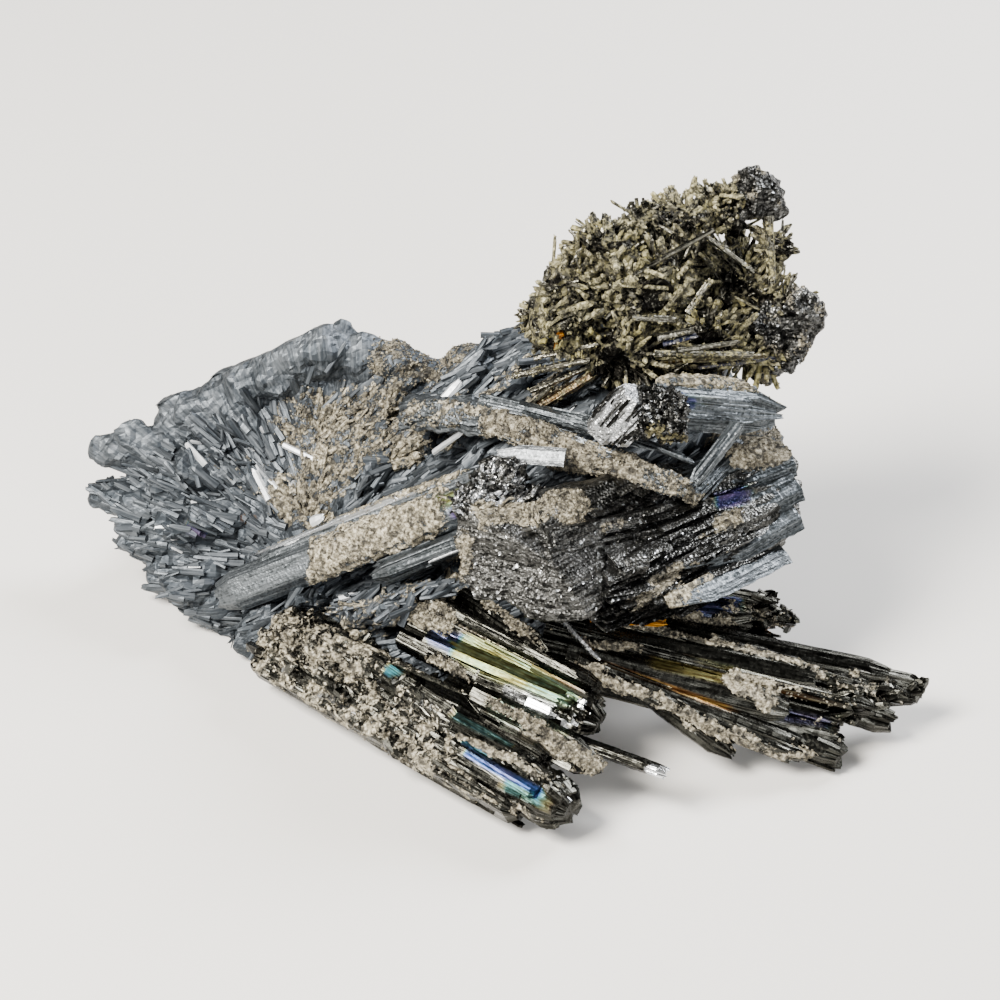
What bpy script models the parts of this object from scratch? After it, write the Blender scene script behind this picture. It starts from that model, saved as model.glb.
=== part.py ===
"""Stibnite crystal spray: flat striated prisms that radiate from one intergrown base.

The tables are in millimetres and the scene is in metres. +Z is up, -Y is the display side, and
the origin is the middle of the flat broken face that the specimen rests on. A crystal is a
flattened prism with a chisel end, and crystals that grew into each other are one solid. Where a
crystal sits in another group, that group has a seat for it with a hairline seam around it.
"""

import math
import random

import bmesh
import bpy
from mathutils import Matrix, Vector, noise

MM = 0.001

# Driving dimensions, in millimetres
SEAM = 0.3  # gap around a crystal where it sits in its neighbour
SAW_SPAN = 200.0  # side of the block that cuts the base off flat
PRISM_SIDES = 6
NEEDLE_SIDES = 4

# Which way a crystal's broad face looks
DISPLAY = (0.0, -0.8, 0.6)
UP = (0.0, 0.0, 1.0)
LOW = (0.0, -1.0, 0.1)
LEFT_UP = (-0.5, -0.3, 0.8)
BACK_UP = (0.0, 0.7, 0.7)

# Surface finishes: linear RGB, roughness, metallic
STIBNITE = ((0.16, 0.17, 0.19), 0.32, 1.0)
TARNISHED = ((0.10, 0.13, 0.20), 0.25, 1.0)
CRUSTED = ((0.42, 0.36, 0.26), 0.85, 0.0)
OCHRE = ((0.36, 0.30, 0.16), 0.85, 0.1)
BROKEN = ((0.09, 0.09, 0.10), 0.45, 0.9)


def crystal(root, tip, width, thick, facing=DISPLAY, chisel=0.55, point=2.5, sides=PRISM_SIDES):
    """A prism from root to tip. Its last point mm narrow to chisel times its width and thickness."""
    return {
        "root": Vector(root),
        "tip": Vector(tip),
        "width": width,
        "thick": thick,
        "facing": Vector(facing),
        "chisel": chisel,
        "point": point,
        "sides": sides,
    }


def sheaf(root, tip, width, thick, count, seed, facing=DISPLAY, stagger=5.0, fan=1.0):
    """Parallel growth: count crystals side by side across one blade, ending in steps stagger mm deep.

    The sheaf is fan times as wide at its tip as at its root.
    """
    dice = random.Random(seed)
    root, tip = Vector(root), Vector(tip)
    axis = (tip - root).normalized()
    across = Vector(facing).cross(axis).normalized()
    normal = axis.cross(across)
    grown = []
    for i in range(count):
        side = across * width * ((i + 0.5) / count - 0.5)
        lift = normal * thick * dice.uniform(-0.14, 0.14)
        short = stagger * dice.random() * (i != count // 2)
        grown.append(
            crystal(
                root + side + lift + axis * dice.uniform(0, 1.5),
                tip + side * fan + lift - axis * short,
                width / count * dice.uniform(1.35, 1.7),
                thick * dice.uniform(0.72, 1.0),
                facing,
                dice.uniform(0.45, 0.8),
                dice.uniform(0.8, 2.2),
            )
        )
    return grown


# Each group below is one intergrown solid
RIDGE_BLADE = [
    crystal((2, 5.5, 25.5), (-31, 12.5, 5.2), 5.0, 3.2, (0, -0.75, 0.65), 0.7, 3),
    crystal((-1, 8.0, 25.4), (-27, 13.6, 9.6), 3.2, 2.6, UP, 0.5, 5),
    crystal((2, 3.4, 22.4), (-14, 6.4, 12.4), 2.6, 2.0, DISPLAY, 0.4, 4),
]

FRONT_BUNDLE = [
    *sheaf((-24.5, 5.0, 5.4), (4.8, -21.6, 5.2), 8.2, 5.6, 4, 3, DISPLAY, 3.0, 0.95),
    crystal((-12, -6, 5.4), (6.9, -23.2, 4.4), 5.8, 5.2, DISPLAY, 0.8, 1.5),
    crystal((-20, 0, 8.6), (-2, -13, 8.2), 3.6, 3.2, UP, 0.4, 3),
]

MIDDLE_BUNDLE = [
    *sheaf((-9.5, 0.6, 11.4), (10.0, -13.2, 9.4), 6.4, 4.4, 4, 8, DISPLAY, 3.0),
    crystal((-4, 2.4, 12.6), (5, -7.6, 12.6), 2.6, 2.4, UP, 0.4, 4),
]

SLENDER_BLADES = [
    crystal((-6, -8, 8.4), (10.6, -18.6, 6.0), 4.4, 2.6, UP, 0.4, 4),
    crystal((-2, -6.5, 9.4), (8.6, -15.2, 6.4), 3.2, 2.2, UP, 0.4, 3),
    crystal((2, -12, 7.4), (17.4, -19.2, 6.0), 1.7, 1.4, UP, 0.8, 1),
]

LONG_RIGHT_BLADES = [
    *sheaf((4, -3.6, 11.8), (39.5, -7.6, 3.6), 7.6, 4.0, 4, 21, (0, -0.6, 0.8), 6.0, 1.1),
    *sheaf((7, -1.5, 12.2), (45, -3, 4.4), 4.6, 3.4, 3, 4, UP, 9.0),
    crystal((8, -6.4, 10.6), (32.5, -11.6, 2.6), 3.4, 3.0, DISPLAY, 0.4, 3),
    crystal((15, -7, 7.8), (24.6, -12.4, 2.8), 3.0, 2.6, LOW, 0.4, 2),
    crystal((30, -5, 6.4), (42.0, -6.6, 2.6), 3.4, 3.0, DISPLAY, 0.7, 1.5),
    crystal((26, -8, 4.6), (36.4, -11.4, 1.8), 3.6, 2.8, DISPLAY, 0.7, 1.5),
]

UPPER_RIGHT_BLADES = [
    *sheaf((5, 3, 14.2), (31.6, 2.8, 8.4), 5.6, 3.8, 4, 9, DISPLAY, 5.0),
    crystal((10, 0.6, 12.8), (22, -0.8, 10.4), 2.6, 2.2, UP, 0.4, 4),
]

# The broken block: a loaf of fractured stibnite, and the ledges that run out of it to the right
BLOCK_LOAF = [
    (-3.8, -1.4, 27.0), (-5.4, -4.0, 22.2), (-2.6, -7.0, 19.2), (2.6, -9.6, 18.6), (9.2, -10.2, 19.4),
    (14.0, -8.0, 20.2), (15.0, -0.8, 25.0), (11.5, 1.4, 26.2), (3.1, 1.0, 27.4), (5.6, -8.0, 24.4),
    (-1.0, 3.0, 21.0), (5.0, 5.0, 17.5), (13.0, 3.0, 17.0), (15.0, 5.0, 22.0), (2.0, 5.0, 25.0),
]
BLOCK_LEDGES = [
    crystal((4, 0, 26.6), (23, 9.0, 24.6), 3.2, 5.0, DISPLAY, 0.5, 3),
    crystal((3, -2, 25.8), (31.2, 13.4, 22.2), 3.6, 5.4, DISPLAY, 0.5, 4),
    crystal((4, -3.5, 24.4), (31.4, 11.2, 20.6), 3.2, 6.4, DISPLAY, 0.6, 3),
    crystal((4, -5.2, 23.2), (31.8, 9.6, 18.8), 3.4, 5.8, DISPLAY, 0.5, 4),
    crystal((5, -6.6, 21.6), (30.4, 7.2, 17.4), 3.0, 5.6, DISPLAY, 0.5, 3),
    crystal((6, -7.6, 20.4), (28.0, 4.4, 16.2), 2.8, 4.4, DISPLAY, 0.4, 4),
    crystal((8, -8.0, 19.6), (24, 0.8, 16.2), 2.6, 3.6, DISPLAY, 0.4, 4),
    crystal((11, -7.6, 18.6), (27.6, 3.4, 15.2), 3.6, 1.3, (0.1, -0.9, 0.4), 0.25, 7),
    crystal((9, -8.8, 18.8), (21.0, -1.6, 15.6), 2.6, 1.3, DISPLAY, 0.3, 5),
    crystal((6, 2, 20), (28.5, 15.5, 17.5), 7.0, 6.0, DISPLAY, 0.6, 4),
]

BLOCK_LUMPS = [((0.0, 3.4, 27.2), 3.0), ((-2.6, 1.2, 25.6), 2.4)]

CURVED_BLADE = [
    crystal((-10, 17.4, 26.0), (0, 12.6, 28.4), 4.4, 3.0, DISPLAY, 0.9, 1),
    crystal((-3, 13.4, 28.0), (8.6, 7.4, 29.6), 4.8, 2.8, DISPLAY, 0.9, 1),
    crystal((5, 9.2, 29.6), (15.4, 3.6, 29.2), 4.6, 2.6, DISPLAY, 0.8, 1),
    crystal((12, 5.4, 29.2), (21.6, 1.2, 27.6), 3.6, 2.4, DISPLAY, 0.35, 4),
    crystal((-2, 10.6, 26.6), (7.0, 6.2, 27.0), 2.2, 1.4, DISPLAY, 0.5, 2),
    crystal((-2, 14.0, 30.0), (15, 6.2, 30.6), 1.6, 1.8, UP, 0.5, 3),
    crystal((14, 4.6, 28.4), (20.0, -0.4, 27.0), 1.6, 1.4, DISPLAY, 0.5, 1),
    crystal((14, 6.4, 30.4), (20.4, 3.2, 29.4), 1.5, 1.3, DISPLAY, 0.5, 1),
]

STRUT_BLADE = [
    crystal((28.6, 17.6, 25.6), (19.4, 1.6, 26.2), 2.8, 2.4, DISPLAY, 0.6, 3),
    crystal((29.6, 18, 22.6), (23.6, 8, 23.4), 2.8, 2.6, DISPLAY, 0.5, 3),
]

# One thick crystal, snapped across: the silver stub, the rough break and the long grey end
BROKEN_CRYSTAL = [
    crystal((9.8, 5.2, 31.4), (13.4, 4.6, 36.8), 4.0, 3.6, DISPLAY, 0.8, 1),
    crystal((11.6, 4.4, 31.2), (15.0, 4.0, 35.8), 2.8, 3.0, DISPLAY, 0.7, 1),
    crystal((13.8, 5.4, 35.4), (30.6, 12.2, 29.4), 5.4, 3.8, DISPLAY, 0.2, 9),
    crystal((15, 4.0, 34.0), (19.4, 4.8, 32.8), 5.0, 3.4, DISPLAY, 0.7, 1),
    crystal((16, 8.2, 36.4), (27.5, 13.6, 32.4), 3.2, 3.0, DISPLAY, 0.5, 3),
]

# The core of the base: the sloping fan, the column under the cluster, and the toe at the front
FAN_SLAB = [
    (-27, 8, -1), (-37, 17, -1), (-39, 26, -1), (-30, 34, -1), (-8, 37, -1), (-8, 4, -1),
    (-42.5, 27.5, 10), (-38, 31, 15.5), (-28, 33, 20.5), (-17, 33, 25), (-5, 29, 25.5), (-3, 18, 21),
    (-10, 9, 12), (-22, 10, 4.5), (-30, 12, 1.5),
]
COLUMN = [
    (-10, 2, -1), (6, 2, -1), (20, 14, -1), (22, 30, -1), (4, 38, -1), (-10, 34, -1),
    (-6, 4, 10), (4, 4, 15), (14, 8, 18), (26, 18, 20), (26, 29, 24), (20, 30, 33), (6, 30, 31),
    (-6, 28, 26), (0, 14, 26), (12, 10, 32), (22, 14, 30), (29, 17, 25), (28, 18, 20),
]
TOE = [
    (-26, 8, -1), (-22, 1, -1), (-12, -7, -1), (-2, -10, -1), (8, -4, -1), (4, 8, -1),
    (-22, 7, 5), (-12, 0, 6.5), (-5, -6, 6), (3, -4, 7), (2, 6, 9), (-10, 8, 9),
]

# Large blades that shape the outline of the fan and of the back
OUTER_BLADES = [
    crystal((-26, 25, 12), (-46, 29.5, 13.8), 4.6, 3.6, LEFT_UP),
    crystal((-24, 22, 11), (-46, 25.4, 9.8), 4.4, 3.6, LEFT_UP),
    crystal((-24, 20, 8), (-42.6, 22.0, 6.2), 4.6, 3.8),
    crystal((-22, 17, 6), (-39.4, 19.4, 3.0), 5.0, 4.0),
    crystal((-20, 14, 4), (-34.4, 14.6, 2.4), 5.4, 4.4),
    crystal((-16, 8, 3), (-29.2, 8.6, 2.2), 5.4, 4.2),
    crystal((-14, 4, 4), (-24.5, 4.6, 2.6), 5.0, 4.4),
    crystal((-20, 26, 17), (-37, 31.5, 18.2), 4.8, 3.8, LEFT_UP),
    crystal((-16, 27, 19), (-29.5, 33.2, 22.6), 5.0, 3.8, LEFT_UP),
    crystal((-14, 26, 19), (-17.8, 34.2, 27.4), 6.4, 4.2, DISPLAY, 0.3, 5),
    crystal((-9, 25, 20), (-11.5, 31.4, 25.8), 5.4, 4.4),
    crystal((-3, 22, 20), (-3.5, 28.2, 27.4), 5.4, 4.4),
    crystal((0, 26, 8), (-12, 39, 7), 6.4, 4.6, BACK_UP),
    crystal((2, 24, 10), (1, 40, 12), 6.4, 4.6, BACK_UP),
    crystal((4, 22, 8), (14, 38.5, 7), 6.4, 4.6, BACK_UP),
    crystal((8, 20, 10), (27, 32, 10), 6.0, 4.4, BACK_UP),
    crystal((8, 18, 5), (25, 25, 3), 5.8, 4.2, BACK_UP),
    crystal((-12, 24, 8), (-27, 38, 10), 6.0, 4.2, BACK_UP),
    crystal((-14, 22, 6), (-38, 33, 5), 5.4, 4.2, BACK_UP),
    crystal((-6, 26, 14), (-19, 38.5, 19), 5.4, 4.0, BACK_UP),
    crystal((6, 24, 16), (10, 38, 21), 5.4, 4.0, BACK_UP),
    crystal((12, 24, 18), (25, 34, 22), 5.4, 4.0, BACK_UP),
    crystal((-4, -2, 5), (-9, -11.5, 3), 4.2, 3.4),
    crystal((2, 0, 7), (7, -8, 4), 4.0, 3.4),
]

# Blades that stand up from the slope towards the cluster, and from the toe in front of it
STANDING_BLADES = [
    crystal((-12, 13.6, 14), (-2.6, 18.4, 23.6), 2.6, 1.8),
    crystal((-9, 12, 15.4), (0.6, 14.4, 25.4), 2.4, 1.8),
    crystal((-15, 17, 17), (-7, 23.4, 26), 2.4, 1.6),
    crystal((-10, 19, 20), (-1.4, 25, 30), 2.6, 1.8),
    crystal((-4, 16, 23), (3.6, 19.4, 32), 2.6, 2.0),
    crystal((1, 13, 25), (7, 13.8, 34), 2.4, 1.8),
    crystal((-21, 6, 5), (-15.6, 0.4, 10.6), 3.0, 2.2),
    crystal((-17, 6, 7), (-10, -0.4, 13.4), 2.8, 2.2),
    crystal((-12, 6, 9), (-5.4, 0, 15.6), 2.6, 2.2),
    crystal((-8, 4, 8), (2.4, -6, 11.4), 3.0, 2.4, UP),
]

# Short crystals in oval rings on the fan's slope, round its middle
SLOPE_MIDDLE = Vector((-21.5, 20.3, 14.2))
SLOPE_NORMAL = Vector((-0.23, -0.64, 0.73)).normalized()
SLOPE_RINGS = ((3.2, 4), (7.0, 7), (10.2, 10), (13.2, 13))  # half the ring's height, crystals
RING_STRETCH = 1.35  # a ring's width over its height
SLOPE_SEED = 11

# Needle cluster: lumps as middle and radius, with a hollow on the right
CLUSTER_LUMPS = [
    ((6.4, 15.6, 39.2), 5.4),
    ((8.8, 19.6, 41.6), 5.0),
    ((15.0, 18.6, 41.4), 6.2),
    ((19.5, 24.0, 44.9), 4.8),
    ((27.4, 26.8, 46.8), 3.0),
    ((24.4, 26.6, 44.8), 3.4),
    ((29.6, 25.6, 41.8), 2.8),
    ((30.2, 21.4, 36.6), 4.2),
    ((12.6, 14.4, 35.6), 4.8),
    ((21.6, 17.4, 35.8), 5.4),
    ((27.2, 19.2, 33.4), 4.0),
    ((24.8, 27.6, 36.0), 6.0),
    ((16.5, 27.0, 36.0), 6.6),
    ((18.5, 21.6, 30.0), 6.4),
]
HOLLOW = Vector((25.1, 22.0, 42.0))
HOLLOW_RADIUS = 3.4
NEEDLE_COUNT = 62
NEEDLE_SEED = 5


def roughen(bm, depth, grain, seed, grow):
    """Moves each point along its normal: by noise, up to depth mm with that grain, and by grow mm."""
    bmesh.ops.recalc_face_normals(bm, faces=bm.faces)
    bm.normal_update()
    shift = Vector((seed * 3.7, seed * 1.3, 0))
    reach = [depth * noise.noise(vert.co / (grain * MM) + shift) + grow for vert in bm.verts]
    for vert, step in zip(bm.verts, reach):
        vert.co += vert.normal * step * MM


def lump(bm, middle, radius, seed, grow):
    """A low icosphere with a broken surface."""
    place = Matrix.Translation(Vector(middle) * MM)
    bmesh.ops.create_icosphere(bm, subdivisions=1, radius=radius * MM, matrix=place)
    roughen(bm, 0.25 * radius, 0.6 * radius, seed, grow * 1.3)


def slab(bm, corners, seed, grow):
    """The convex solid through the corners, divided and given a broken surface."""
    made = [bm.verts.new(Vector(corner) * MM) for corner in corners]
    hull = bmesh.ops.convex_hull(bm, input=made)
    spare = {g for g in hull["geom_interior"] + hull["geom_unused"] if isinstance(g, bmesh.types.BMVert)}
    bmesh.ops.delete(bm, geom=list(spare), context="VERTS")
    bmesh.ops.subdivide_edges(bm, edges=bm.edges, cuts=1, use_grid_fill=True)
    bmesh.ops.triangulate(bm, faces=bm.faces)
    roughen(bm, 2.2, 5.0, seed, grow * 1.3)


def prism(bm, spec, grow):
    """One crystal: a cylinder primitive, flattened, with its top face drawn out into a chisel end."""
    axis = (spec["tip"] - spec["root"]).normalized()
    across = spec["facing"].cross(axis).normalized()
    turn = Matrix((across, axis.cross(across), axis)).transposed()
    start = spec["root"] - axis * grow
    length = (spec["tip"] - spec["root"]).length + 2 * grow
    flat_side_up = Matrix.Rotation(math.pi / spec["sides"], 3, "Z")
    made = bmesh.ops.create_cone(
        bm, cap_ends=True, segments=spec["sides"], radius1=0.5, radius2=0.5, depth=1.0
    )
    body = made["verts"]
    bmesh.ops.rotate(bm, verts=body, matrix=flat_side_up)
    wide, high = (2 * max(vert.co[i] for vert in body) for i in (0, 1))
    top = max(bm.faces, key=lambda f: f.calc_center_median().z)
    drawn = bmesh.ops.extrude_face_region(bm, geom=[top])["geom"]
    end = [g for g in drawn if isinstance(g, bmesh.types.BMVert)]
    bmesh.ops.delete(bm, geom=[top], context="FACES_ONLY")
    for vert in end:
        vert.co = Vector((vert.co.x * spec["chisel"], vert.co.y * spec["chisel"], length))
    for vert in body:
        vert.co.z = (vert.co.z + 0.5) * (length - spec["point"])
    size = Vector(((spec["width"] + 2 * grow) / wide, (spec["thick"] + 2 * grow) / high, 1))
    for vert in [*body, *end]:
        vert.co = (start + turn @ (vert.co * size)) * MM


def mesh_object(name, collection, fill):
    """A new object in the collection, with the mesh that fill(bm) makes."""
    bm = bmesh.new()
    fill(bm)
    bmesh.ops.recalc_face_normals(bm, faces=bm.faces)
    mesh = bpy.data.meshes.new(name)
    bm.to_mesh(mesh)
    bm.free()
    made = bpy.data.objects.new(name, mesh)
    collection.objects.link(made)
    return made


def new_collection(name, parent, helper=True):
    made = bpy.data.collections.new(name)
    made.hide_render = helper
    parent.children.link(made)
    return made


def hide(obj):
    obj.hide_render = True
    obj.display_type = "WIRE"
    return obj


def boolean(obj, operation, other):
    cut = obj.modifiers.new(operation.lower(), "BOOLEAN")
    cut.operation = operation
    cut.solver = "EXACT"
    if isinstance(other, bpy.types.Collection):
        cut.operand_type = "COLLECTION"
        cut.collection = other
    else:
        cut.object = other


def material(name, finish):
    colour, roughness, metallic = finish
    made = bpy.data.materials.new(name)
    made.use_nodes = True
    shader = made.node_tree.nodes["Principled BSDF"]
    shader.inputs["Base Color"].default_value = (*colour, 1.0)
    shader.inputs["Roughness"].default_value = roughness
    shader.inputs["Metallic"].default_value = metallic
    return made


def connected(bm):
    """The mesh's points, as one set for each separate body, smallest first."""
    left = set(bm.verts)
    bodies = []
    while left:
        front = [left.pop()]
        body = set(front)
        while front:
            vert = front.pop()
            near = {edge.other_vert(vert) for edge in vert.link_edges} & left
            left -= near
            body |= near
            front.extend(near)
        bodies.append(body)
    return sorted(bodies, key=len)


def settle(obj):
    """Fixes the modifiers into the mesh, and drops any crumb that a cut left loose."""
    graph = bpy.context.evaluated_depsgraph_get()
    mesh = bpy.data.meshes.new_from_object(obj.evaluated_get(graph))
    bm = bmesh.new()
    bm.from_mesh(mesh)
    crumbs = [vert for body in connected(bm)[:-1] for vert in body]
    bmesh.ops.delete(bm, geom=crumbs, context="VERTS")
    bm.to_mesh(mesh)
    bm.free()
    obj.modifiers.clear()
    obj.data = mesh


def fused(name, collection, helpers, fills):
    """One object, the union of the pieces that the fills make."""
    operands = new_collection(name + "_pieces", helpers)
    for i, fill in enumerate(fills):
        hide(mesh_object(f"{name}_piece_{i}", operands, fill))
    first = operands.objects[0]
    made = bpy.data.objects.new(name, first.data)
    collection.objects.link(made)
    bpy.data.objects.remove(first)
    if operands.objects:
        boolean(made, "UNION", operands)
    return made


class Spray:
    """The groups grown so far. Each new group gets a seat for every group that came before it."""

    def __init__(self):
        scene = bpy.context.scene.collection
        self.nodes = new_collection("stibnite_spray", scene, helper=False)
        self.helpers = new_collection("helpers", scene)
        self.seats = new_collection("seats", self.helpers)

    def grow(self, name, finish, crystals, slabs=(), lumps=(), saw=None):
        def fills(grow):
            found = [lambda bm, c=c, i=i: slab(bm, c, i, grow) for i, c in enumerate(slabs)]
            found += [lambda bm, c=c, r=r, i=i: lump(bm, c, r, i, grow) for i, (c, r) in enumerate(lumps)]
            return found + [lambda bm, c=c: prism(bm, c, grow) for c in crystals]

        node = fused(name, self.nodes, self.helpers, fills(0.0))
        if saw:
            boolean(node, "DIFFERENCE", saw)
        for seat in self.seats.objects:
            boolean(node, "DIFFERENCE", seat)
        settle(node)
        node.data.materials.clear()
        node.data.materials.append(material(name + "_surface", finish))
        if not saw:
            settle(hide(fused(name + "_seat", self.seats, self.helpers, fills(SEAM))))


def floor_saw(collection):
    """The block below the resting plane."""
    half = SAW_SPAN / 2 * MM
    place = Matrix.Translation((0, 0, -half))
    return hide(
        mesh_object(
            "floor_saw", collection, lambda bm: bmesh.ops.create_cube(bm, size=2 * half, matrix=place)
        )
    )


def slope_crystals():
    """Short crystals in rings on the fan: they lie along the slope and lift off it as they radiate."""
    dice = random.Random(SLOPE_SEED)
    level = SLOPE_NORMAL.cross(Vector(UP)).normalized()
    uphill = level.cross(SLOPE_NORMAL)
    grown = []
    for radius, count in SLOPE_RINGS:
        for i in range(count):
            angle = math.tau * (i + dice.uniform(-0.3, 0.3)) / count
            out = level * math.cos(angle) * RING_STRETCH + uphill * math.sin(angle)
            foot = SLOPE_MIDDLE + out * radius
            sway = Vector(dice.uniform(-0.4, 0.4) for _ in range(3))
            lean = (out + SLOPE_NORMAL * dice.uniform(0.1, 0.7) + sway).normalized()
            grown.append(
                crystal(
                    foot - lean * 3,
                    foot + lean * dice.uniform(3.8, 5.8),
                    dice.uniform(2.0, 3.6),
                    dice.uniform(1.3, 2.2),
                    SLOPE_NORMAL,
                    0.6,
                    1.2,
                    NEEDLE_SIDES,
                )
            )
    return grown


def cluster_needles():
    """Needles that bristle from the cluster's lumps and keep out of its hollow."""
    dice = random.Random(NEEDLE_SEED)
    needles = []
    while len(needles) < NEEDLE_COUNT:
        middle, radius = CLUSTER_LUMPS[len(needles) % len(CLUSTER_LUMPS)]
        out = Vector(dice.gauss(0, 1) for _ in range(3)).normalized()
        lean = (out + Vector(dice.uniform(-0.8, 0.8) for _ in range(3))).normalized()
        foot = Vector(middle) + out * radius * 0.85
        tip = foot + lean * dice.uniform(2.0, 3.8)
        if out.z < -0.35 or (tip - HOLLOW).length < HOLLOW_RADIUS:
            continue
        needles.append(
            crystal(
                foot - lean * 2,
                tip,
                dice.uniform(1.1, 1.8),
                dice.uniform(0.9, 1.4),
                (dice.uniform(-1, 1), dice.uniform(-1, 1), 0.3),
                0.6,
                0.6,
                NEEDLE_SIDES,
            )
        )
    return needles


def main():
    for obj in list(bpy.data.objects):
        bpy.data.objects.remove(obj)
    spray = Spray()
    spray.grow("ridge_blade", CRUSTED, RIDGE_BLADE)
    spray.grow("striated_block", BROKEN, BLOCK_LEDGES, slabs=[BLOCK_LOAF], lumps=BLOCK_LUMPS)
    spray.grow("front_bundle", TARNISHED, FRONT_BUNDLE)
    spray.grow("middle_bundle", TARNISHED, MIDDLE_BUNDLE)
    spray.grow("slender_blades", STIBNITE, SLENDER_BLADES)
    spray.grow("long_right_blades", TARNISHED, LONG_RIGHT_BLADES)
    spray.grow("upper_right_blades", STIBNITE, UPPER_RIGHT_BLADES)
    spray.grow("curved_blade", CRUSTED, CURVED_BLADE)
    spray.grow("strut_blade", STIBNITE, STRUT_BLADE)
    spray.grow("broken_crystal", STIBNITE, BROKEN_CRYSTAL)
    spray.grow("needle_cluster", OCHRE, cluster_needles(), lumps=CLUSTER_LUMPS)
    spray.grow(
        "intergrown_base",
        STIBNITE,
        OUTER_BLADES + STANDING_BLADES + slope_crystals(),
        slabs=[FAN_SLAB, COLUMN, TOE],
        saw=floor_saw(spray.helpers),
    )


main()
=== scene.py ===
"""Stibnite crystal spray: the fine growth, crust and tarnish round the part's solids, and its stage.

Shapes are worked out in millimetres as whole arrays and become metres when they are put into a mesh.
+Z is up, -Y is the display side, and the origin is the middle of the flat face that it rests on.
A piece is one mesh joined from many closed crystals, grains and skins. Its points carry traits that
the finishes read: crust, film, hue, shade and ochre, and grain, the place along and across growth.
shade is partly the metal's own tone, which differs at random, and partly painted light: painted
shade at feet, in gaps and hollows, and painted highlights above 1, where the metal turns silver.
"""

import itertools
import math
import random

import bmesh
import bpy
import numpy as np
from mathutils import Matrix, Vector


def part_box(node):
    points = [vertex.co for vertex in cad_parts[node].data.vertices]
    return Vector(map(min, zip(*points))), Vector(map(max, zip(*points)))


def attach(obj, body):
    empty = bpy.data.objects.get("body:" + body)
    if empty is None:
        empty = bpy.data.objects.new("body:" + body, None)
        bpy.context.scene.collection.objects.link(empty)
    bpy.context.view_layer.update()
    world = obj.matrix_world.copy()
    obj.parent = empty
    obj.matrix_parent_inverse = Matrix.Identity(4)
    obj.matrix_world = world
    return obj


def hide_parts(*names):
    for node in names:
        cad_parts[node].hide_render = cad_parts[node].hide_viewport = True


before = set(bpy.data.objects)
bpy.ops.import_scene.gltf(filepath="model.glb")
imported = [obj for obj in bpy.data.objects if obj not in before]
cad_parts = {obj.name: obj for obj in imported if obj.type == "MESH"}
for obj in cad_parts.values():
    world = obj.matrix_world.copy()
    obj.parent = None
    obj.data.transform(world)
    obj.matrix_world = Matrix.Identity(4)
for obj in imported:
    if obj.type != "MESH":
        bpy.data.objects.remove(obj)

bl_info = {
    "name": "Stibnite Crystal Spray",
    "version": (1, 0, 0),
    "blender": (4, 5, 0),
    "location": "View3D > Sidebar > Stibnite",
    "description": "Builds the crystals, crust, tarnish and stage of a stibnite specimen",
    "category": "Add Mesh",
}

MM = 0.001
TRAITS = ("crust", "film", "hue", "shade", "ochre")

# Which way a crystal's broad face looks
DISPLAY = (0.0, -0.8, 0.6)
UP = (0.0, 0.0, 1.0)
LOW = (0.0, -1.0, 0.1)
TOWARDS_KEY = (-0.28, -0.6, 0.74)  # a face that looks this way mirrors the key light


# ---------------------------------------------------------------- sizes and colours


def linear(colour):
    """The linear RGB of an sRGB hex colour."""
    parts = [int(colour[i : i + 2], 16) / 255 for i in (1, 3, 5)]
    return tuple(c / 12.92 if c <= 0.04045 else ((c + 0.055) / 1.055) ** 2.4 for c in parts)


def length_setting(name, description, millimetres):
    """A length of the sidebar, given in mm and kept in metres."""
    return bpy.props.FloatProperty(
        name=name, description=description, default=millimetres * MM, min=0.0,
        subtype="DISTANCE", unit="LENGTH",
    )


def colour_setting(name, description, colour):
    """A colour of the sidebar, given as sRGB hex and kept as linear RGB."""
    return bpy.props.FloatVectorProperty(
        name=name, description=description, default=linear(colour), min=0.0, max=1.0,
        subtype="COLOR", size=3,
    )


class StibniteSizes(bpy.types.PropertyGroup):
    """Sizes of what covers the solids."""

    lamella_width: length_setting("Lamella width", "Mean width of the thin strips on a blade", 0.5)
    fan_blade_length: length_setting("Fan blade length", "Mean length of a small crystal on the fan", 3.2)
    fan_blade_width: length_setting("Fan blade width", "Mean width of a small crystal on the fan", 0.62)
    needle_length: length_setting("Needle length", "Mean length of a needle of the cluster", 3.9)
    needle_width: length_setting("Needle width", "Mean width of a needle of the cluster", 0.54)
    grain_size: length_setting("Grain size", "Mean radius of a grain of the crust", 0.12)
    crust_depth: length_setting("Crust depth", "How far the crust stands off the metal", 0.25)
    fan_blades: bpy.props.IntProperty(
        name="Fan blades", description="Small crystals on the fan and the back", default=4000, min=0
    )
    needles: bpy.props.IntProperty(
        name="Needles", description="Needles in the cluster", default=2500, min=0
    )


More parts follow.
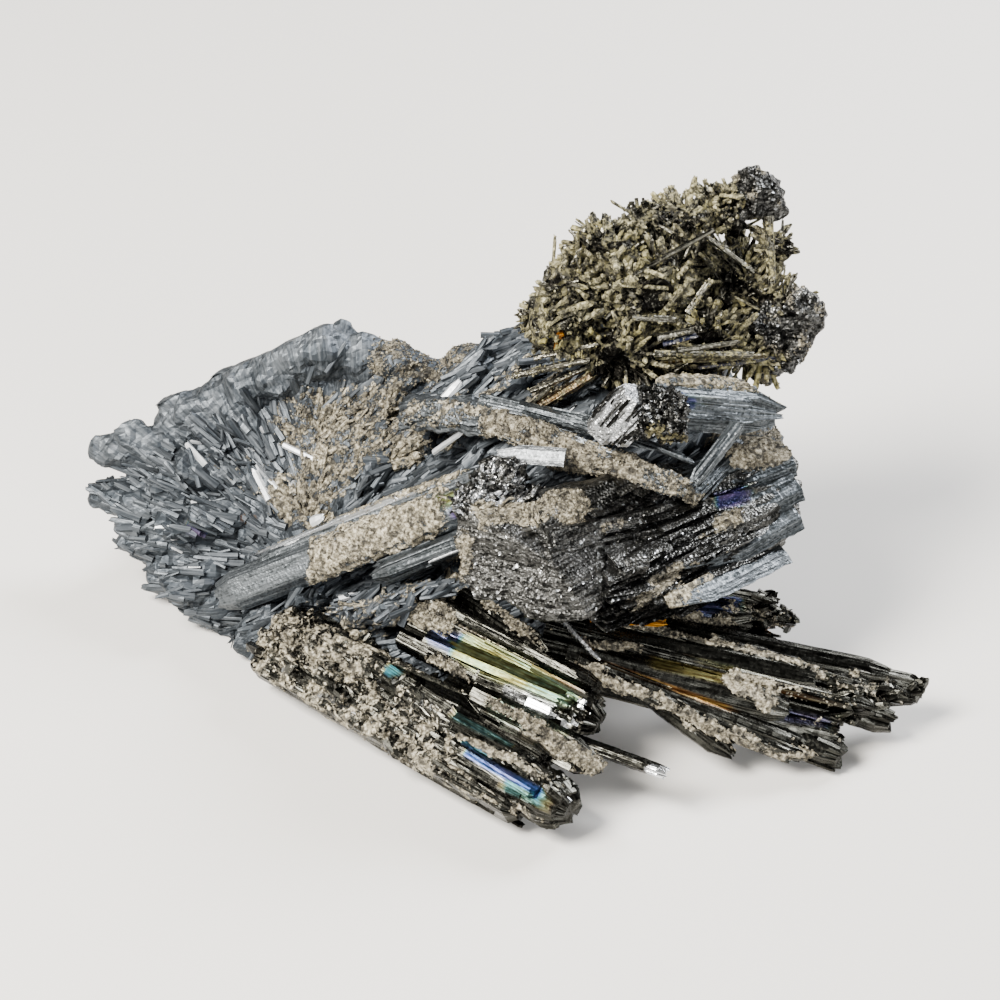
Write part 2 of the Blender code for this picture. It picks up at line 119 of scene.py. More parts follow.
class StibniteColours(bpy.types.PropertyGroup):
    """Colours of the mineral, its oxide crust and the floor."""

    # The metal colours are darker than stibnite itself: painted shade that keeps the metal's reflections as
    # dark as those of a dark room.
    dull_dark: colour_setting("Dull shadow", "Grooves of stibnite that air has dulled", "#2f3335")
    dull_light: colour_setting("Dull metal", "Faces of stibnite that air has dulled", "#666b6f")
    dusty_dark: colour_setting("Dusty shadow", "Gaps of the fan's dusty stibnite", "#3c4146")
    dusty_light: colour_setting("Dusty metal", "Faces of the fan's dusty stibnite", "#686d72")
    broken_dark: colour_setting("Break shadow", "Pores of granular broken stibnite", "#161615")
    broken_light: colour_setting("Break", "Grains of broken stibnite", "#5b5b59")
    glassy_dark: colour_setting("Glassy shadow", "The darkest faces, under a thin film", "#100f0d")
    glassy_light: colour_setting("Glassy metal", "Lines on the filmed faces", "#464641")
    # Painted highlight: the metal is mixed towards this colour where highlights and glints are painted, and
    # on fresh faces.
    silver: colour_setting("Silver", "Fresh faces that shine almost white", "#d4d7da")
    crust_dark: colour_setting("Crust shadow", "Pits and thin places of the oxide crust", "#2b261b")
    crust_mid: colour_setting("Crust", "The oxide crust's main tan", "#8f8772")
    crust_pale: colour_setting("Pale crust", "Thick cream places of the oxide crust", "#dad2bd")
    needle_metal: colour_setting("Needle metal", "Warm grey metal of the bare needles", "#77756a")
    needle_dark: colour_setting("Needle shadow", "Pits in the coat of the needles", "#2a271b")
    needle_mid: colour_setting("Needle coat", "Grey khaki coat of the needles", "#938d6b")
    needle_pale: colour_setting("Pale needle coat", "Raised bumps of the needles' coat", "#d9d2ae")
    ochre: colour_setting("Ochre", "Yellow ochre stains", "#8c8344")
    floor: colour_setting("Floor", "The pale paper floor", "#cfcdc9")


# ---------------------------------------------------------------- numbers and noise


def unit(vectors):
    """The vectors, each divided by its length."""
    return vectors / np.maximum(np.linalg.norm(vectors, axis=-1, keepdims=True), 1e-9)


def step(values, low, high):
    """0 below low, 1 above high, and a smooth S between."""
    t = np.clip((values - low) / (high - low), 0, 1)
    return t * t * (3 - 2 * t)


def lattice(cells, seed):
    """A fixed number from -1 to 1 for each whole-number point, mixed from its coordinates."""
    x, y, z = (cells[..., i].astype(np.int64) for i in range(3))
    mixed = (x * 73856093) ^ (y * 19349663) ^ (z * 83492791) ^ (seed * 40503 + 97)
    mixed = (mixed ^ (mixed >> 13)) * 1274126177
    return ((mixed ^ (mixed >> 16)) & 0xFFFF) / 32767.5 - 1


def noise(points, grain, seed=0):
    """Smooth noise from -1 to 1: the eight lattice numbers round a point, blended by smooth steps.

    grain is the size of a lattice cell in mm, one number or one for each axis.
    """
    scaled = points / np.asarray(grain, float)
    cell = np.floor(scaled)
    part = scaled - cell
    part = part * part * (3 - 2 * part)
    total = np.zeros(points.shape[:-1])
    for corner in itertools.product((0, 1), repeat=3):
        weight = np.where(corner, part, 1 - part).prod(axis=-1)
        total += weight * lattice(cell + corner, seed)
    return total


def layered(points, grain, seed=0, layers=3):
    """Noise plus finer noise: each layer has half the grain and half the height of the last."""
    return sum(noise(points, np.asarray(grain) / 2**i, seed + i) / 2**i for i in range(layers))


def near(points, start, end, radius):
    """1 close to the line from start to end, and 0 farther than radius from it."""
    start, end = np.array(start, float), np.array(end, float)
    line = end - start
    along = np.clip((points - start) @ line / max(line @ line, 1e-9), 0, 1)
    gap = np.linalg.norm(points - start - along[:, None] * line, axis=1)
    return 1 - step(gap / radius, 0.6, 1.0)


# ---------------------------------------------------------------- surfaces


def surface(points, faces, grain, **traits):
    """One closed surface, or many: points in mm, triangles, growth coordinates and traits."""
    made = {"points": points, "faces": faces, "grain": grain}
    for name in TRAITS:
        made[name] = np.broadcast_to(np.asarray(traits.get(name, 0.0), float), len(points)).copy()
    return made


def joined(parts):
    """The surfaces as one, with their triangles counted on."""
    starts = np.cumsum([0] + [len(part["points"]) for part in parts[:-1]])
    made = {key: np.concatenate([part[key] for part in parts]) for key in parts[0] if key != "faces"}
    made["faces"] = np.concatenate([part["faces"] + start for part, start in zip(parts, starts)])
    return made


def corner_normals(part):
    """The area-weighted normal at each point."""
    triangles = part["points"][part["faces"]]
    cross = np.cross(triangles[:, 1] - triangles[:, 0], triangles[:, 2] - triangles[:, 0])
    count = len(part["points"])
    total = [
        sum(np.bincount(part["faces"][:, corner], cross[:, axis], count) for corner in range(3))
        for axis in range(3)
    ]
    return unit(np.stack(total, axis=1))


def scatter(part, weight, count, dice):
    """Random places on a surface, denser where weight is high, with the surface's normals there."""
    triangles = part["points"][part["faces"]]
    first, second = triangles[:, 1] - triangles[:, 0], triangles[:, 2] - triangles[:, 0]
    cross = np.cross(first, second)
    area = np.linalg.norm(cross, axis=1)
    chance = area * weight[part["faces"]].mean(axis=1)
    picked = dice.choice(len(area), count, p=chance / chance.sum())
    u, v = dice.random((2, count, 1))
    u, v = np.where(u + v > 1, 1 - u, u), np.where(u + v > 1, 1 - v, v)
    places = triangles[picked, 0] + u * first[picked] + v * second[picked]
    return places, cross[picked] / np.maximum(area[picked, None], 1e-9)


def repeated(traits, count, size):
    """Traits given as one number, or one for each of count shapes, as one for each of their points."""
    return {
        name: np.repeat(np.broadcast_to(np.asarray(value, float), count), size)
        for name, value in traits.items()
    }


def net(count, rings, around):
    """Triangles of count closed tubes, each of rings rings and a middle point at both ends."""
    j, i = np.meshgrid(np.arange(rings - 1), np.arange(around), indexing="ij")
    here, beside = (j * around + i).ravel(), (j * around + (i + 1) % around).ravel()
    walls = [(here, beside, beside + around), (here, beside + around, here + around)]
    edge = np.arange(around)
    turned = (edge + 1) % around
    last = (rings - 1) * around
    foot, head = np.full(around, rings * around), np.full(around, rings * around + 1)
    caps = [(foot, turned, edge), (head, last + edge, last + turned)]
    one = np.concatenate([np.stack(corners, axis=1) for corners in walls + caps])
    size = rings * around + 2
    return (one[None] + size * np.arange(count)[:, None, None]).reshape(-1, 3)


def column(value, count):
    """A number, or an array of them, as a (count, 1) column."""
    return np.broadcast_to(np.asarray(value, float).reshape(-1, 1), (count, 1))


def hexagon(walk):
    """The point of a hexagon, one wide and one thick, at each walk round it from 0 to 6, an even pace
    along its sides: the corner passed last plus its share of the way to the next.
    """
    corner = np.floor(walk)
    turn = np.stack([corner, corner + 1]) * math.pi / 3
    ends = np.stack([np.cos(turn), np.sin(turn) / math.cos(math.pi / 6)], axis=-1)
    return ends[0] + (ends[1] - ends[0]) * (walk - corner)[:, None]


GIRTH = 1.6  # how far it is round a crystal, over its width plus its thickness
LAYER_GAP = 7.3  # mm of growth between a crystal and the next, so that lines don't run on across them


def crystals(
    root, tip, width, thick, facing, dice, around=6, rings=3, rib=0.0, jag=0.0, chisel=0.6, point=0.8,
    bow=(0, 0, 0), rough=0.0, coarse=0.8, painted_foot_shade=0.0, **traits,
):
    """Flattened hexagonal prisms from root to tip, one for each row of the arrays.

    A ring walks once round a hexagon and is stretched to width by thick. Each of its points is
    drawn in by its own share of rib, held along the crystal, which grooves the faces. Rings run to
    point mm from the tip, where the last one shrinks to chisel. Lines stop up to jag mm short, a few
    neighbours together, which splinters the end. The middle line is bowed by 4 s (1 - s) times bow,
    and rough mm of noise, coarse mm wide, moves the skin in and out. painted_foot_shade paints shade
    on the foot, where a crystal stands between others, and thins its crust there.
    """
    root, tip = np.atleast_2d(np.asarray(root, float)), np.atleast_2d(np.asarray(tip, float))
    count = len(root)
    facing = np.broadcast_to(np.asarray(facing, float), (count, 3))
    length = np.linalg.norm(tip - root, axis=1, keepdims=True)
    axis = (tip - root) / np.maximum(length, 1e-9)
    across = unit(np.cross(facing, axis))
    normal = np.cross(axis, across)
    width, thick, point, jag = (column(v, count) for v in (width, thick, point, jag))

    outline = hexagon(np.arange(around) * 6 / around)
    inward = 1 - rib * dice.random((count, around))
    side = outline[None, :, 0] * inward * width / 2
    lift = outline[None, :, 1] * inward * thick / 2

    share = np.append(np.linspace(0, 1, rings - 1), 1.0)
    shrink = np.append(np.ones(rings - 1), chisel)
    before_point = np.append(np.linspace(0, 1, rings - 1), 0.0)
    height = share[None, :, None] * length[:, :, None] - before_point[None, :, None] * point[:, :, None]
    together = max(around // 12, 1)
    broken = np.repeat(dice.random((count, -(-around // together))), together, axis=1)[:, :around]
    short = (jag * (0.8 * broken + 0.2 * dice.random((count, around))))[:, None, :]
    height = height - short * (share[None, :, None] ** 4)

    out = side[:, None, :, None] * across[:, None, None] + lift[:, None, :, None] * normal[:, None, None]
    arch = (4 * share * (1 - share))[None, :, None, None] * np.broadcast_to(bow, (count, 3))[:, None, None]
    middle = root[:, None, None] + height[..., None] * axis[:, None, None] + arch
    points = middle + out * shrink[None, :, None, None]
    if rough:
        push = rough * layered(points, coarse, 3, 2)
        points = points + unit(out) * push[..., None]
    caps = np.stack([middle[:, 0].mean(axis=1), middle[:, -1].mean(axis=1)], axis=1)
    points = np.concatenate([points.reshape(count, -1, 3), caps], axis=1)

    girth = (width + thick) * GIRTH
    round_mm = np.broadcast_to((np.arange(around) / around) * girth, (count, around))[:, None]
    own_layer = LAYER_GAP * np.arange(count)[:, None, None]
    flat = np.stack([np.broadcast_to(v, height.shape) for v in (round_mm, height, own_layer)], axis=-1)
    flat = flat.reshape(count, -1, 3)
    grain = np.concatenate([flat, flat[:, [0, -1]]], axis=1)
    spread = repeated(traits, count, points.shape[1])
    if painted_foot_shade:
        # Painted shade on the foot, where a crystal stands between others
        deep = 1 - step(np.append(np.repeat(share, around), [0.0, 1.0]), 0.2, 0.75)
        deep = np.tile(deep, count)
        spread["shade"] = spread["shade"] - painted_foot_shade * deep
        spread["crust"] = spread["crust"] * (1 - 0.5 * deep)
    return surface(points.reshape(-1, 3), net(count, rings, around), grain.reshape(-1, 3), **spread)


def grains(places, normals, size, dice, **traits):
    """Grains of crust: octahedra with shifted corners at uneven distances, sunk a third into it."""
    corners = np.array([(1, 0, 0), (-1, 0, 0), (0, 1, 0), (0, -1, 0), (0, 0, 1), (0, 0, -1)], float)
    threes = np.array(list(itertools.product((0, 1), (2, 3), (4, 5))))
    faces = np.where(threes.sum(axis=1, keepdims=True) % 2 == 0, threes, threes[:, ::-1])
    count = len(places)
    size = column(size, count)[..., None]
    reach = size * dice.uniform(0.7, 1.3, (count, 6, 1))
    ball = unit(corners[None] + dice.normal(0, 0.3, (count, 6, 3)))
    points = places[:, None] + normals[:, None] * size * 0.3 + ball * reach
    all_faces = (faces[None] + 6 * np.arange(count)[:, None, None]).reshape(-1, 3)
    flat = points.reshape(-1, 3)
    return surface(flat, all_faces, flat, **repeated(traits, count, len(corners)))


def mesh_arrays(mesh):
    """A mesh's points in mm and its triangles."""
    mesh.calc_loop_triangles()
    points = np.empty(len(mesh.vertices) * 3, np.float32)
    mesh.vertices.foreach_get("co", points)
    faces = np.empty(len(mesh.loop_triangles) * 3, np.int32)
    mesh.loop_triangles.foreach_get("vertices", faces)
    return points.reshape(-1, 3).astype(float) / MM, faces.reshape(-1, 3)


def skin(mesh, pitch):
    """One even net of cells pitch mm wide round everything in the mesh, which is used up."""
    welded = bmesh.new()
    welded.from_mesh(mesh)
    bmesh.ops.remove_doubles(welded, verts=welded.verts, dist=1e-6)
    welded.to_mesh(mesh)
    welded.free()
    holder = bpy.data.objects.new("skin_source", mesh)
    bpy.context.scene.collection.objects.link(holder)
    remesh = holder.modifiers.new("even_net", "REMESH")
    remesh.mode = "VOXEL"
    remesh.voxel_size = pitch * MM
    graph = bpy.context.evaluated_depsgraph_get()
    made = bpy.data.meshes.new_from_object(holder.evaluated_get(graph))
    points, faces = mesh_arrays(made)
    bpy.data.objects.remove(holder)
    bpy.data.meshes.remove(made)
    bpy.data.meshes.remove(mesh)
    return points, faces


def shell(pitch, node=None, balls=()):
    """The skin round a node's solid and round spheres that run into it: middles and radii in mm."""
    shape = bmesh.new()
    if node:
        shape.from_mesh(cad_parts[node].data)
    for middle, radius in balls:
        made = bmesh.ops.create_icosphere(shape, subdivisions=3, radius=radius * MM)
        bmesh.ops.translate(shape, verts=made["verts"], vec=Vector(middle) * MM)
    mesh = bpy.data.meshes.new("shell_source")
    shape.to_mesh(mesh)
    shape.free()
    return skin(mesh, pitch)


def put(name, part, look, slot, *nodes):
    """The surface as an object at the origin that stands for the solids named, cut flat at the floor."""
    part["points"][:, 2] = np.maximum(part["points"][:, 2], 0)
    mesh = bpy.data.meshes.new(name)
    faces = part["faces"].astype(np.int32)
    mesh.vertices.add(len(part["points"]))
    mesh.vertices.foreach_set("co", (part["points"] * MM).astype(np.float32).ravel())
    mesh.loops.add(faces.size)
    mesh.loops.foreach_set("vertex_index", faces.ravel())
    mesh.polygons.add(len(faces))
    mesh.polygons.foreach_set("loop_start", np.arange(0, faces.size, 3, dtype=np.int32))
    mesh.update(calc_edges=True)
    mesh.polygons.foreach_set("use_smooth", np.zeros(len(faces), bool))
    for trait in TRAITS:
        field = mesh.attributes.new(trait, "FLOAT", "POINT")
        field.data.foreach_set("value", part[trait].astype(np.float32))
    field = mesh.attributes.new("grain", "FLOAT_VECTOR", "POINT")
    field.data.foreach_set("vector", part["grain"].astype(np.float32).ravel())
    mesh.materials.append(look)
    piece = bpy.data.objects.new(name, mesh)
    bpy.context.scene.collection.objects.link(piece)
    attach(piece, "root")
    if nodes:
        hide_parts(*nodes)


# ---------------------------------------------------------------- where crust and tarnish lie

# How many loose grains of crust lie on each piece
GRAINS = {
    "fan_base": 2500, "fan_blades": 2500, "ridge": 2600, "block": 1500, "block_wings": 200,
    "bundle": 2000, "curved_blade": 2600, "strut": 400, "grey_end": 260, "needles": 6000,
    "cluster_ends": 500,
}
# How wide the cells of the even nets round the solids are, in mm
CELLS = {"base": 0.62, "block": 0.29, "cluster": 0.5, "cluster_ends": 0.3}

# Each crust place is a line from, a line to, a radius in mm, and how thick the crust is there
CRUST = {
    "base": [
        ((-21, 25, 19), (-11, 23, 22), 5.0, 0.85),
        ((-20, 20, 16), (-13, 22, 20), 4.6, 0.8),
        ((-10, 19, 22), (-2, 18, 27), 4.0, 0.8),
        ((-16, 12, 16), (-6, 11, 22), 1.8, 0.8),
        ((-30, 24, 14), (-26, 22, 14), 3.0, 0.35),
        ((-24, 20, 14), (-20, 17, 13), 2.6, 0.9),
        ((-28, 12, 9), (-18, 12, 15), 2.2, 1.0),
        ((-19, 6, 6), (-11, 3, 12), 4.2, 0.62),
        ((-14, 0, 10), (-6, -4, 12), 3.0, 0.55),
        ((-4, 4, 13), (-6, 8, 20), 3.6, 0.75),
        ((24, 16, 24), (30, 18, 24), 5.0, 1.0),
        ((2, 12, 32), (10, 12, 36), 4.0, 0.8),
        ((-22, 2, 4), (-8, -10, 3), 3.4, 0.7),
        ((-13, 21, 28), (0, 19, 31), 3.4, 0.6),
        ((-12, 28.5, 26), (-5, 27.5, 26.5), 3.6, 0.95),
    ],
    "front_bundle": [
        ((-25, 2, 4.6), (-10, -11, 3.4), 2.8, 0.6),
        ((-24, 3, 8), (-14, -4, 9), 4.2, 0.68),
        ((-15, -9, 7), (-6, -16, 6), 3.4, 0.62),
        ((-16, -6, 4), (-4, -18, 4), 2.4, 0.68),
        ((-10, -9, 9), (-6, -13, 8.4), 1.4, 0.5),
        ((-5, -15.5, 8.4), (3.4, -20.8, 7.8), 0.8, 0.95),
        ((-4, -19, 4.8), (3, -23.6, 3.6), 1.0, 0.75),
        ((3, -21, 7.4), (4.6, -21.6, 6.8), 0.9, 0.8),
    ],
    "middle_bundle": [
        ((-9, 0, 13), (-6, -2, 13), 2.0, 0.8),
        ((-7.4, -4.6, 9.8), (-3.4, -7.6, 9.6), 0.7, 1.0),
        ((-2, 1, 14.4), (3, -5, 14), 0.9, 0.8),
    ],
    "slender_blades": [
        ((3.4, -15.6, 8.2), (9.6, -18.2, 6.8), 1.7, 1.0),
        ((-1, -11.6, 9.2), (4, -14.6, 8.6), 0.6, 0.8),
    ],
    "long_right_blades": [
        ((8, -7.2, 11.0), (20, -10.4, 7.0), 1.0, 0.9),
        ((20, -10.8, 6.4), (32, -12, 2.6), 1.3, 0.85),
        ((8, -5.0, 12.4), (14, -5.4, 11.8), 0.8, 0.85),
        ((10, -2.2, 13.4), (22, -3.6, 11.6), 0.9, 0.85),
        ((22, -3.4, 10.8), (33, -5, 8.8), 1.2, 0.8),
        ((24.5, -7.2, 8.6), (28, -8.2, 7.2), 1.8, 0.9),
        ((35, -6.2, 7.6), (42, -5, 5.6), 2.2, 0.42),
        ((32, -9.6, 4), (37, -8.4, 3.6), 2.0, 0.45),
    ],
    "upper_right_blades": [
        ((15, -0.8, 12.6), (24, 0, 11), 1.3, 0.9),
        ((24, 1.5, 11.8), (30, 2.5, 10), 1.4, 0.6),
    ],
    "block": [
        ((-1, -2, 27), (7.5, -1.6, 27.4), 2.4, 0.95),
        ((-4, -4, 24.5), (-4.4, -4.6, 21.8), 1.8, 0.8),
        ((14.4, -6.2, 19.2), (17.4, -3.6, 19.6), 1.5, 1.0),
        ((17, -3.8, 19.8), (21, -1, 20.2), 0.8, 0.9),
        ((23.2, 2.6, 22.4), (25.2, 3.8, 22.2), 1.1, 1.0),
        ((11, -2.4, 25.4), (13.4, -1.4, 25.2), 0.9, 0.8),
        ((13, -6.8, 18.6), (20, -1.6, 17.8), 0.7, 0.8),
        ((25.4, 9, 26.6), (29.6, 11.6, 25.8), 2.4, 1.0),
    ],
    "block_wings": [
        ((19.4, -3, 20.8), (26.6, 3, 20.6), 0.9, 0.55),
        ((17.4, -6.2, 18.6), (19.6, -4.4, 18.4), 1.3, 1.0),
        ((19.6, -4.4, 18.6), (22, -1.8, 18.6), 0.7, 0.6),
        ((25.4, 9, 26.6), (29.6, 11.6, 25.8), 2.4, 1.0),
    ],
    "curved_blade": [
        ((-1, 11, 30), (5, 8, 30), 1.9, 1.0),
        ((6, 6.6, 29.6), (13.4, 2.8, 28.8), 2.4, 1.0),
        ((13.4, 2.8, 28.8), (20.5, 0.4, 27.4), 2.2, 0.72),
        ((-9, 16, 27), (-4, 13.6, 29), 2.0, 0.6),
    ],
    "broken_crystal": [((9.6, 4.6, 31.4), (12, 4.0, 31.6), 1.0, 0.7)],
    "grey_end": [
        ((17, 8.4, 36.8), (26.4, 12.4, 34.0), 1.7, 0.85),
        ((25, 9.6, 32), (26, 10, 31.4), 0.6, 0.7),
    ],
    "strut_blade": [((26, 12, 25.6), (29, 17, 24), 2.0, 0.9), ((19, 1, 26), (20.6, 3.6, 26), 1.4, 0.8)],
    "ridge_blade": [((-4, 9.0, 24.6), (-23, 13.6, 11.6), 1.5, 0.85)],
}

# Each tarnish place is a line from, a line to, a radius in mm, a place on the film's ramp and a strength
FILM = {
    "base": [
        ((-35.6, 28.3, 14.8), (-35, 28, 14.4), 0.8, 0.05, 0.9),
        ((-28, 18.6, 11.4), (-27.6, 19, 11), 0.6, 0.03, 0.9),
        ((-25.4, 15, 12), (-25, 14.4, 11.8), 0.7, 0.62, 0.8),
        ((-34, 18.4, 10.4), (-33, 18, 10), 0.8, 0.95, 0.7),
        ((-9, 16, 24), (-5, 17, 27), 1.2, 0.62, 0.4),
    ],
    "front_bundle": [
        ((-3.2, -17.6, 7.4), (3.8, -22.8, 6.6), 0.8, 0.72, 0.9),
        ((-3.6, -16.6, 8.0), (-1.2, -18.4, 7.6), 0.7, 0.6, 0.6),
        ((1, -21.6, 6.4), (4.2, -23.4, 6.0), 0.9, 0.5, 0.7),
        ((-4.4, -13.6, 9.2), (1, -17.4, 8.6), 0.8, 0.5, 0.5),
        ((-11.4, -6.8, 9.8), (-10.2, -7.4, 9.4), 1.0, 0.55, 0.9),
    ],
    "middle_bundle": [
        ((-6.6, -3.4, 11.8), (-4, -5, 11.6), 1.5, 0.76, 0.35),
        ((-3.4, -5.4, 11.6), (2.6, -9.2, 11.2), 2.2, 0.3, 0.72),
        ((3, -9.4, 11.2), (6.8, -11.8, 10.8), 2.0, 0.38, 0.72),
        ((-5, -4.6, 11.6), (6, -11.6, 10.4), 0.5, 0.14, 0.6),
    ],
    "slender_blades": [((0, -12, 9), (6, -15, 8), 1.6, 0.4, 0.25)],
    "long_right_blades": [
        ((16, -6.4, 10.6), (25, -7.4, 8.6), 0.9, 0.17, 0.55),
        ((11, -7.2, 10.8), (24, -9.4, 6.8), 0.6, 0.04, 0.6),
        ((20, -5.2, 10.2), (25, -6, 9.2), 0.8, 0.22, 0.6),
        ((29, -9, 5.6), (34, -9, 4.6), 1.1, 0.85, 0.3),
        ((29, -4.8, 9), (31, -5, 8.6), 0.8, 0.8, 0.4),
    ],
    "upper_right_blades": [
        ((9, -1.6, 13.8), (17, -1.2, 12.8), 1.2, 0.0, 1.0),
        ((9, -5.5, 15.9), (18, -4.4, 14.3), 1.0, 0.02, 1.2),
        ((28.4, 2.2, 9.6), (29.2, 2.4, 9), 1.0, 0.0, 1.0),
        ((21, 1, 12), (25, 2, 11.6), 1.4, 0.78, 0.5),
    ],
    "ridge_blade": [
        ((-8, 5.8, 22.4), (-3, 5.4, 24.6), 1.6, 0.3, 1.0),
        ((-5, 4.4, 22), (-1, 4, 23.6), 1.3, 0.88, 0.9),
    ],
    "block": [((23.6, 4.4, 24.2), (25.6, 5.4, 24), 1.4, 0.88, 0.8)],
    "grey_end": [((18.6, 6, 36), (19.8, 6.6, 34.8), 0.9, 0.8, 0.6)],
}


# Painted highlights on fresh faces that shine: a line from, a line to, a radius in mm and how much lighter
# the metal is painted there
PAINTED_HIGHLIGHTS = {
    "base": [
        ((-20, 13, 14.6), (-17.4, 12, 15.6), 1.4, 2.2),
        ((-26, 21.4, 15), (-22, 20.6, 16), 1.0, 2.0),
        ((-8, 17, 24.6), (-4, 19, 28), 1.2, 1.6),
    ],
    "front_bundle": [
        ((4.4, -21.6, 5.6), (7.2, -23.4, 4.4), 2.4, 0.3),
        ((-13, -6, 9), (-5.4, -13, 8.4), 1.5, 0.5),
        ((-24, 2, 5), (-12, -9, 4.4), 2.4, 0.9),
    ],
    "block": [((-1, -2, 27), (7.5, -1.6, 27.4), 3.0, 0.7)],
    "middle_bundle": [
        ((1, -10, 9.8), (7.4, -13.6, 9.2), 1.2, 1.3),
        ((4, -10.4, 11.2), (6.6, -12, 10.8), 0.6, 0.5),
    ],
    "slender_blades": [((15.6, -18.8, 6.2), (17.4, -19.2, 6), 0.9, 1.6)],
}


def weather(part, name, places=None):
    """Sets crust, film, hue and painted highlights from the places where they lie, with edges broken up by
    noise.
    """
    where = part["points"] if places is None else places
    wander = layered(where, 1.4, 11, 3)
    for start, end, radius, amount in CRUST.get(name, []):
        cover = near(where + 0.35 * wander[:, None], start, end, radius) * amount
        part["crust"] = np.maximum(part["crust"], cover)
    for start, end, radius, hue, strength in FILM.get(name, []):
        cover = near(where, start, end, radius) * strength
        part["hue"] = np.where(cover > part["film"], hue, part["hue"])
        part["film"] = np.maximum(part["film"], cover)
    for start, end, radius, extra in PAINTED_HIGHLIGHTS.get(name, []):
        part["shade"] = part["shade"] + extra * near(where, start, end, radius)
    return part


def crusted(part, name, sizes, dice, depth=1.0, size=1.0, **traits):
    """Raises the crust, broken by noise, and sets as many loose grains on it as that piece has.

    depth and size are shares of the crust's depth and the grains' size. The crust rises along the
    surface's normals, by its cover times the depth times a number that noise spreads round 0.7.
    """
    depth, size, count = depth * sizes.crust_depth / MM, size * sizes.grain_size / MM, GRAINS[name]
    cover = step(part["crust"] + 0.3 * layered(part["points"], 1.0, 5), 0.35, 0.7)
    lumps = 0.7 + 0.7 * layered(part["points"], 0.8, 21)
    part["points"] = part["points"] + corner_normals(part) * (cover * depth * lumps)[:, None]
    clumps = 0.4 + np.clip(layered(part["points"], 1.3, 27, 2), 0, 1)
    places, normals = scatter(part, step(part["crust"], 0.4, 0.8) * clumps + 1e-6, count, dice)
    size = size * dice.uniform(0.5, 1.7, count)
    shade = dice.uniform(-1.6, 1, count)
    return joined([part, grains(places, normals, size, dice, crust=1.0, shade=shade, **traits)])


# ---------------------------------------------------------------- the blades, as the solids have them


def crystal(root, tip, width, thick, facing, chisel, point):
    """One blade's measures, in mm: its broad face looks along facing, and it narrows to chisel."""
    return {
        "root": Vector(root), "tip": Vector(tip), "width": width, "thick": thick,
        "facing": Vector(facing), "chisel": chisel, "point": point,
    }


def sheaf(root, tip, width, thick, count, seed, facing, stagger, fan=1.0):
    """Parallel growth: count blades side by side, ending in steps stagger mm deep."""
    dice = random.Random(seed)
    root, tip = Vector(root), Vector(tip)
    axis = (tip - root).normalized()
    across = Vector(facing).cross(axis).normalized()
    normal = axis.cross(across)
    grown = []
    for i in range(count):
        side = across * width * ((i + 0.5) / count - 0.5)
        lift = normal * thick * dice.uniform(-0.14, 0.14)
        short = stagger * dice.random() * (i != count // 2)
        grown.append(
            crystal(
                root + side + lift + axis * dice.uniform(0, 1.5),
                tip + side * fan + lift - axis * short,
                width / count * dice.uniform(1.35, 1.7),
                thick * dice.uniform(0.72, 1.0),
                facing,
                dice.uniform(0.45, 0.8),
                dice.uniform(0.8, 2.2),
            )
        )
    return grown


# Single broad faces that show on the bundles
BROAD_FACES = {
    "front_bundle": [
        crystal((-14.5, -4.6, 9.4), (-4.6, -13.8, 8.4), 3.0, 1.0, (-0.1, -0.9, 0.4), 0.7, 1),
        crystal((-4.4, -15.8, 7.9), (4.4, -22.6, 6.6), 3.2, 1.2, (0.3, -0.5, 0.8), 0.8, 0.5),
        crystal((-4.6, -13.4, 8.9), (3.4, -19.6, 8.0), 1.6, 1.0, (0.3, -0.5, 0.8), 0.8, 0.5),
    ],
    "middle_bundle": [
        crystal((-7.6, -2.9, 11.7), (7.2, -12.0, 10.6), 2.7, 0.8, (0.3, -0.4, 0.86), 0.9, 0.4),
        crystal((-2.4, -8.0, 9.6), (6.8, -13.4, 9.1), 2.2, 0.8, (0, -0.9, 0.45), 0.9, 0.4),
    ],
    "long_right_blades": [
        crystal((7, -6.0, 11.7), (30.5, -9.2, 6.4), 3.4, 1.0, (0, -0.75, 0.65), 0.7, 1.5),
        crystal((9, -3.6, 12.8), (33.5, -6.2, 8.3), 3.2, 1.0, (0, -0.6, 0.8), 0.7, 1.5),
        crystal((13, -1.6, 12.8), (41.5, -3.8, 7.2), 2.6, 1.0, (0, -0.5, 0.85), 0.6, 2),
        crystal((20.5, -9.2, 6.6), (35.5, -10.4, 3.4), 3.0, 1.0, (0, -0.85, 0.5), 0.7, 1.5),
    ],
    "upper_right_blades": [
        crystal((10, 0.4, 13.8), (27, 1.2, 11.4), 2.6, 0.9, (0, -0.6, 0.8), 0.6, 1.5),
        crystal((9.4, -5.2, 15.7), (17.6, -4.2, 14.3), 1.1, 0.6, TOWARDS_KEY, 0.8, 0.5),
    ],
    "slender_blades": [crystal((-3, -10, 9.4), (9.4, -17.4, 7.2), 2.6, 0.9, (0, -0.7, 0.7), 0.5, 2)],
}
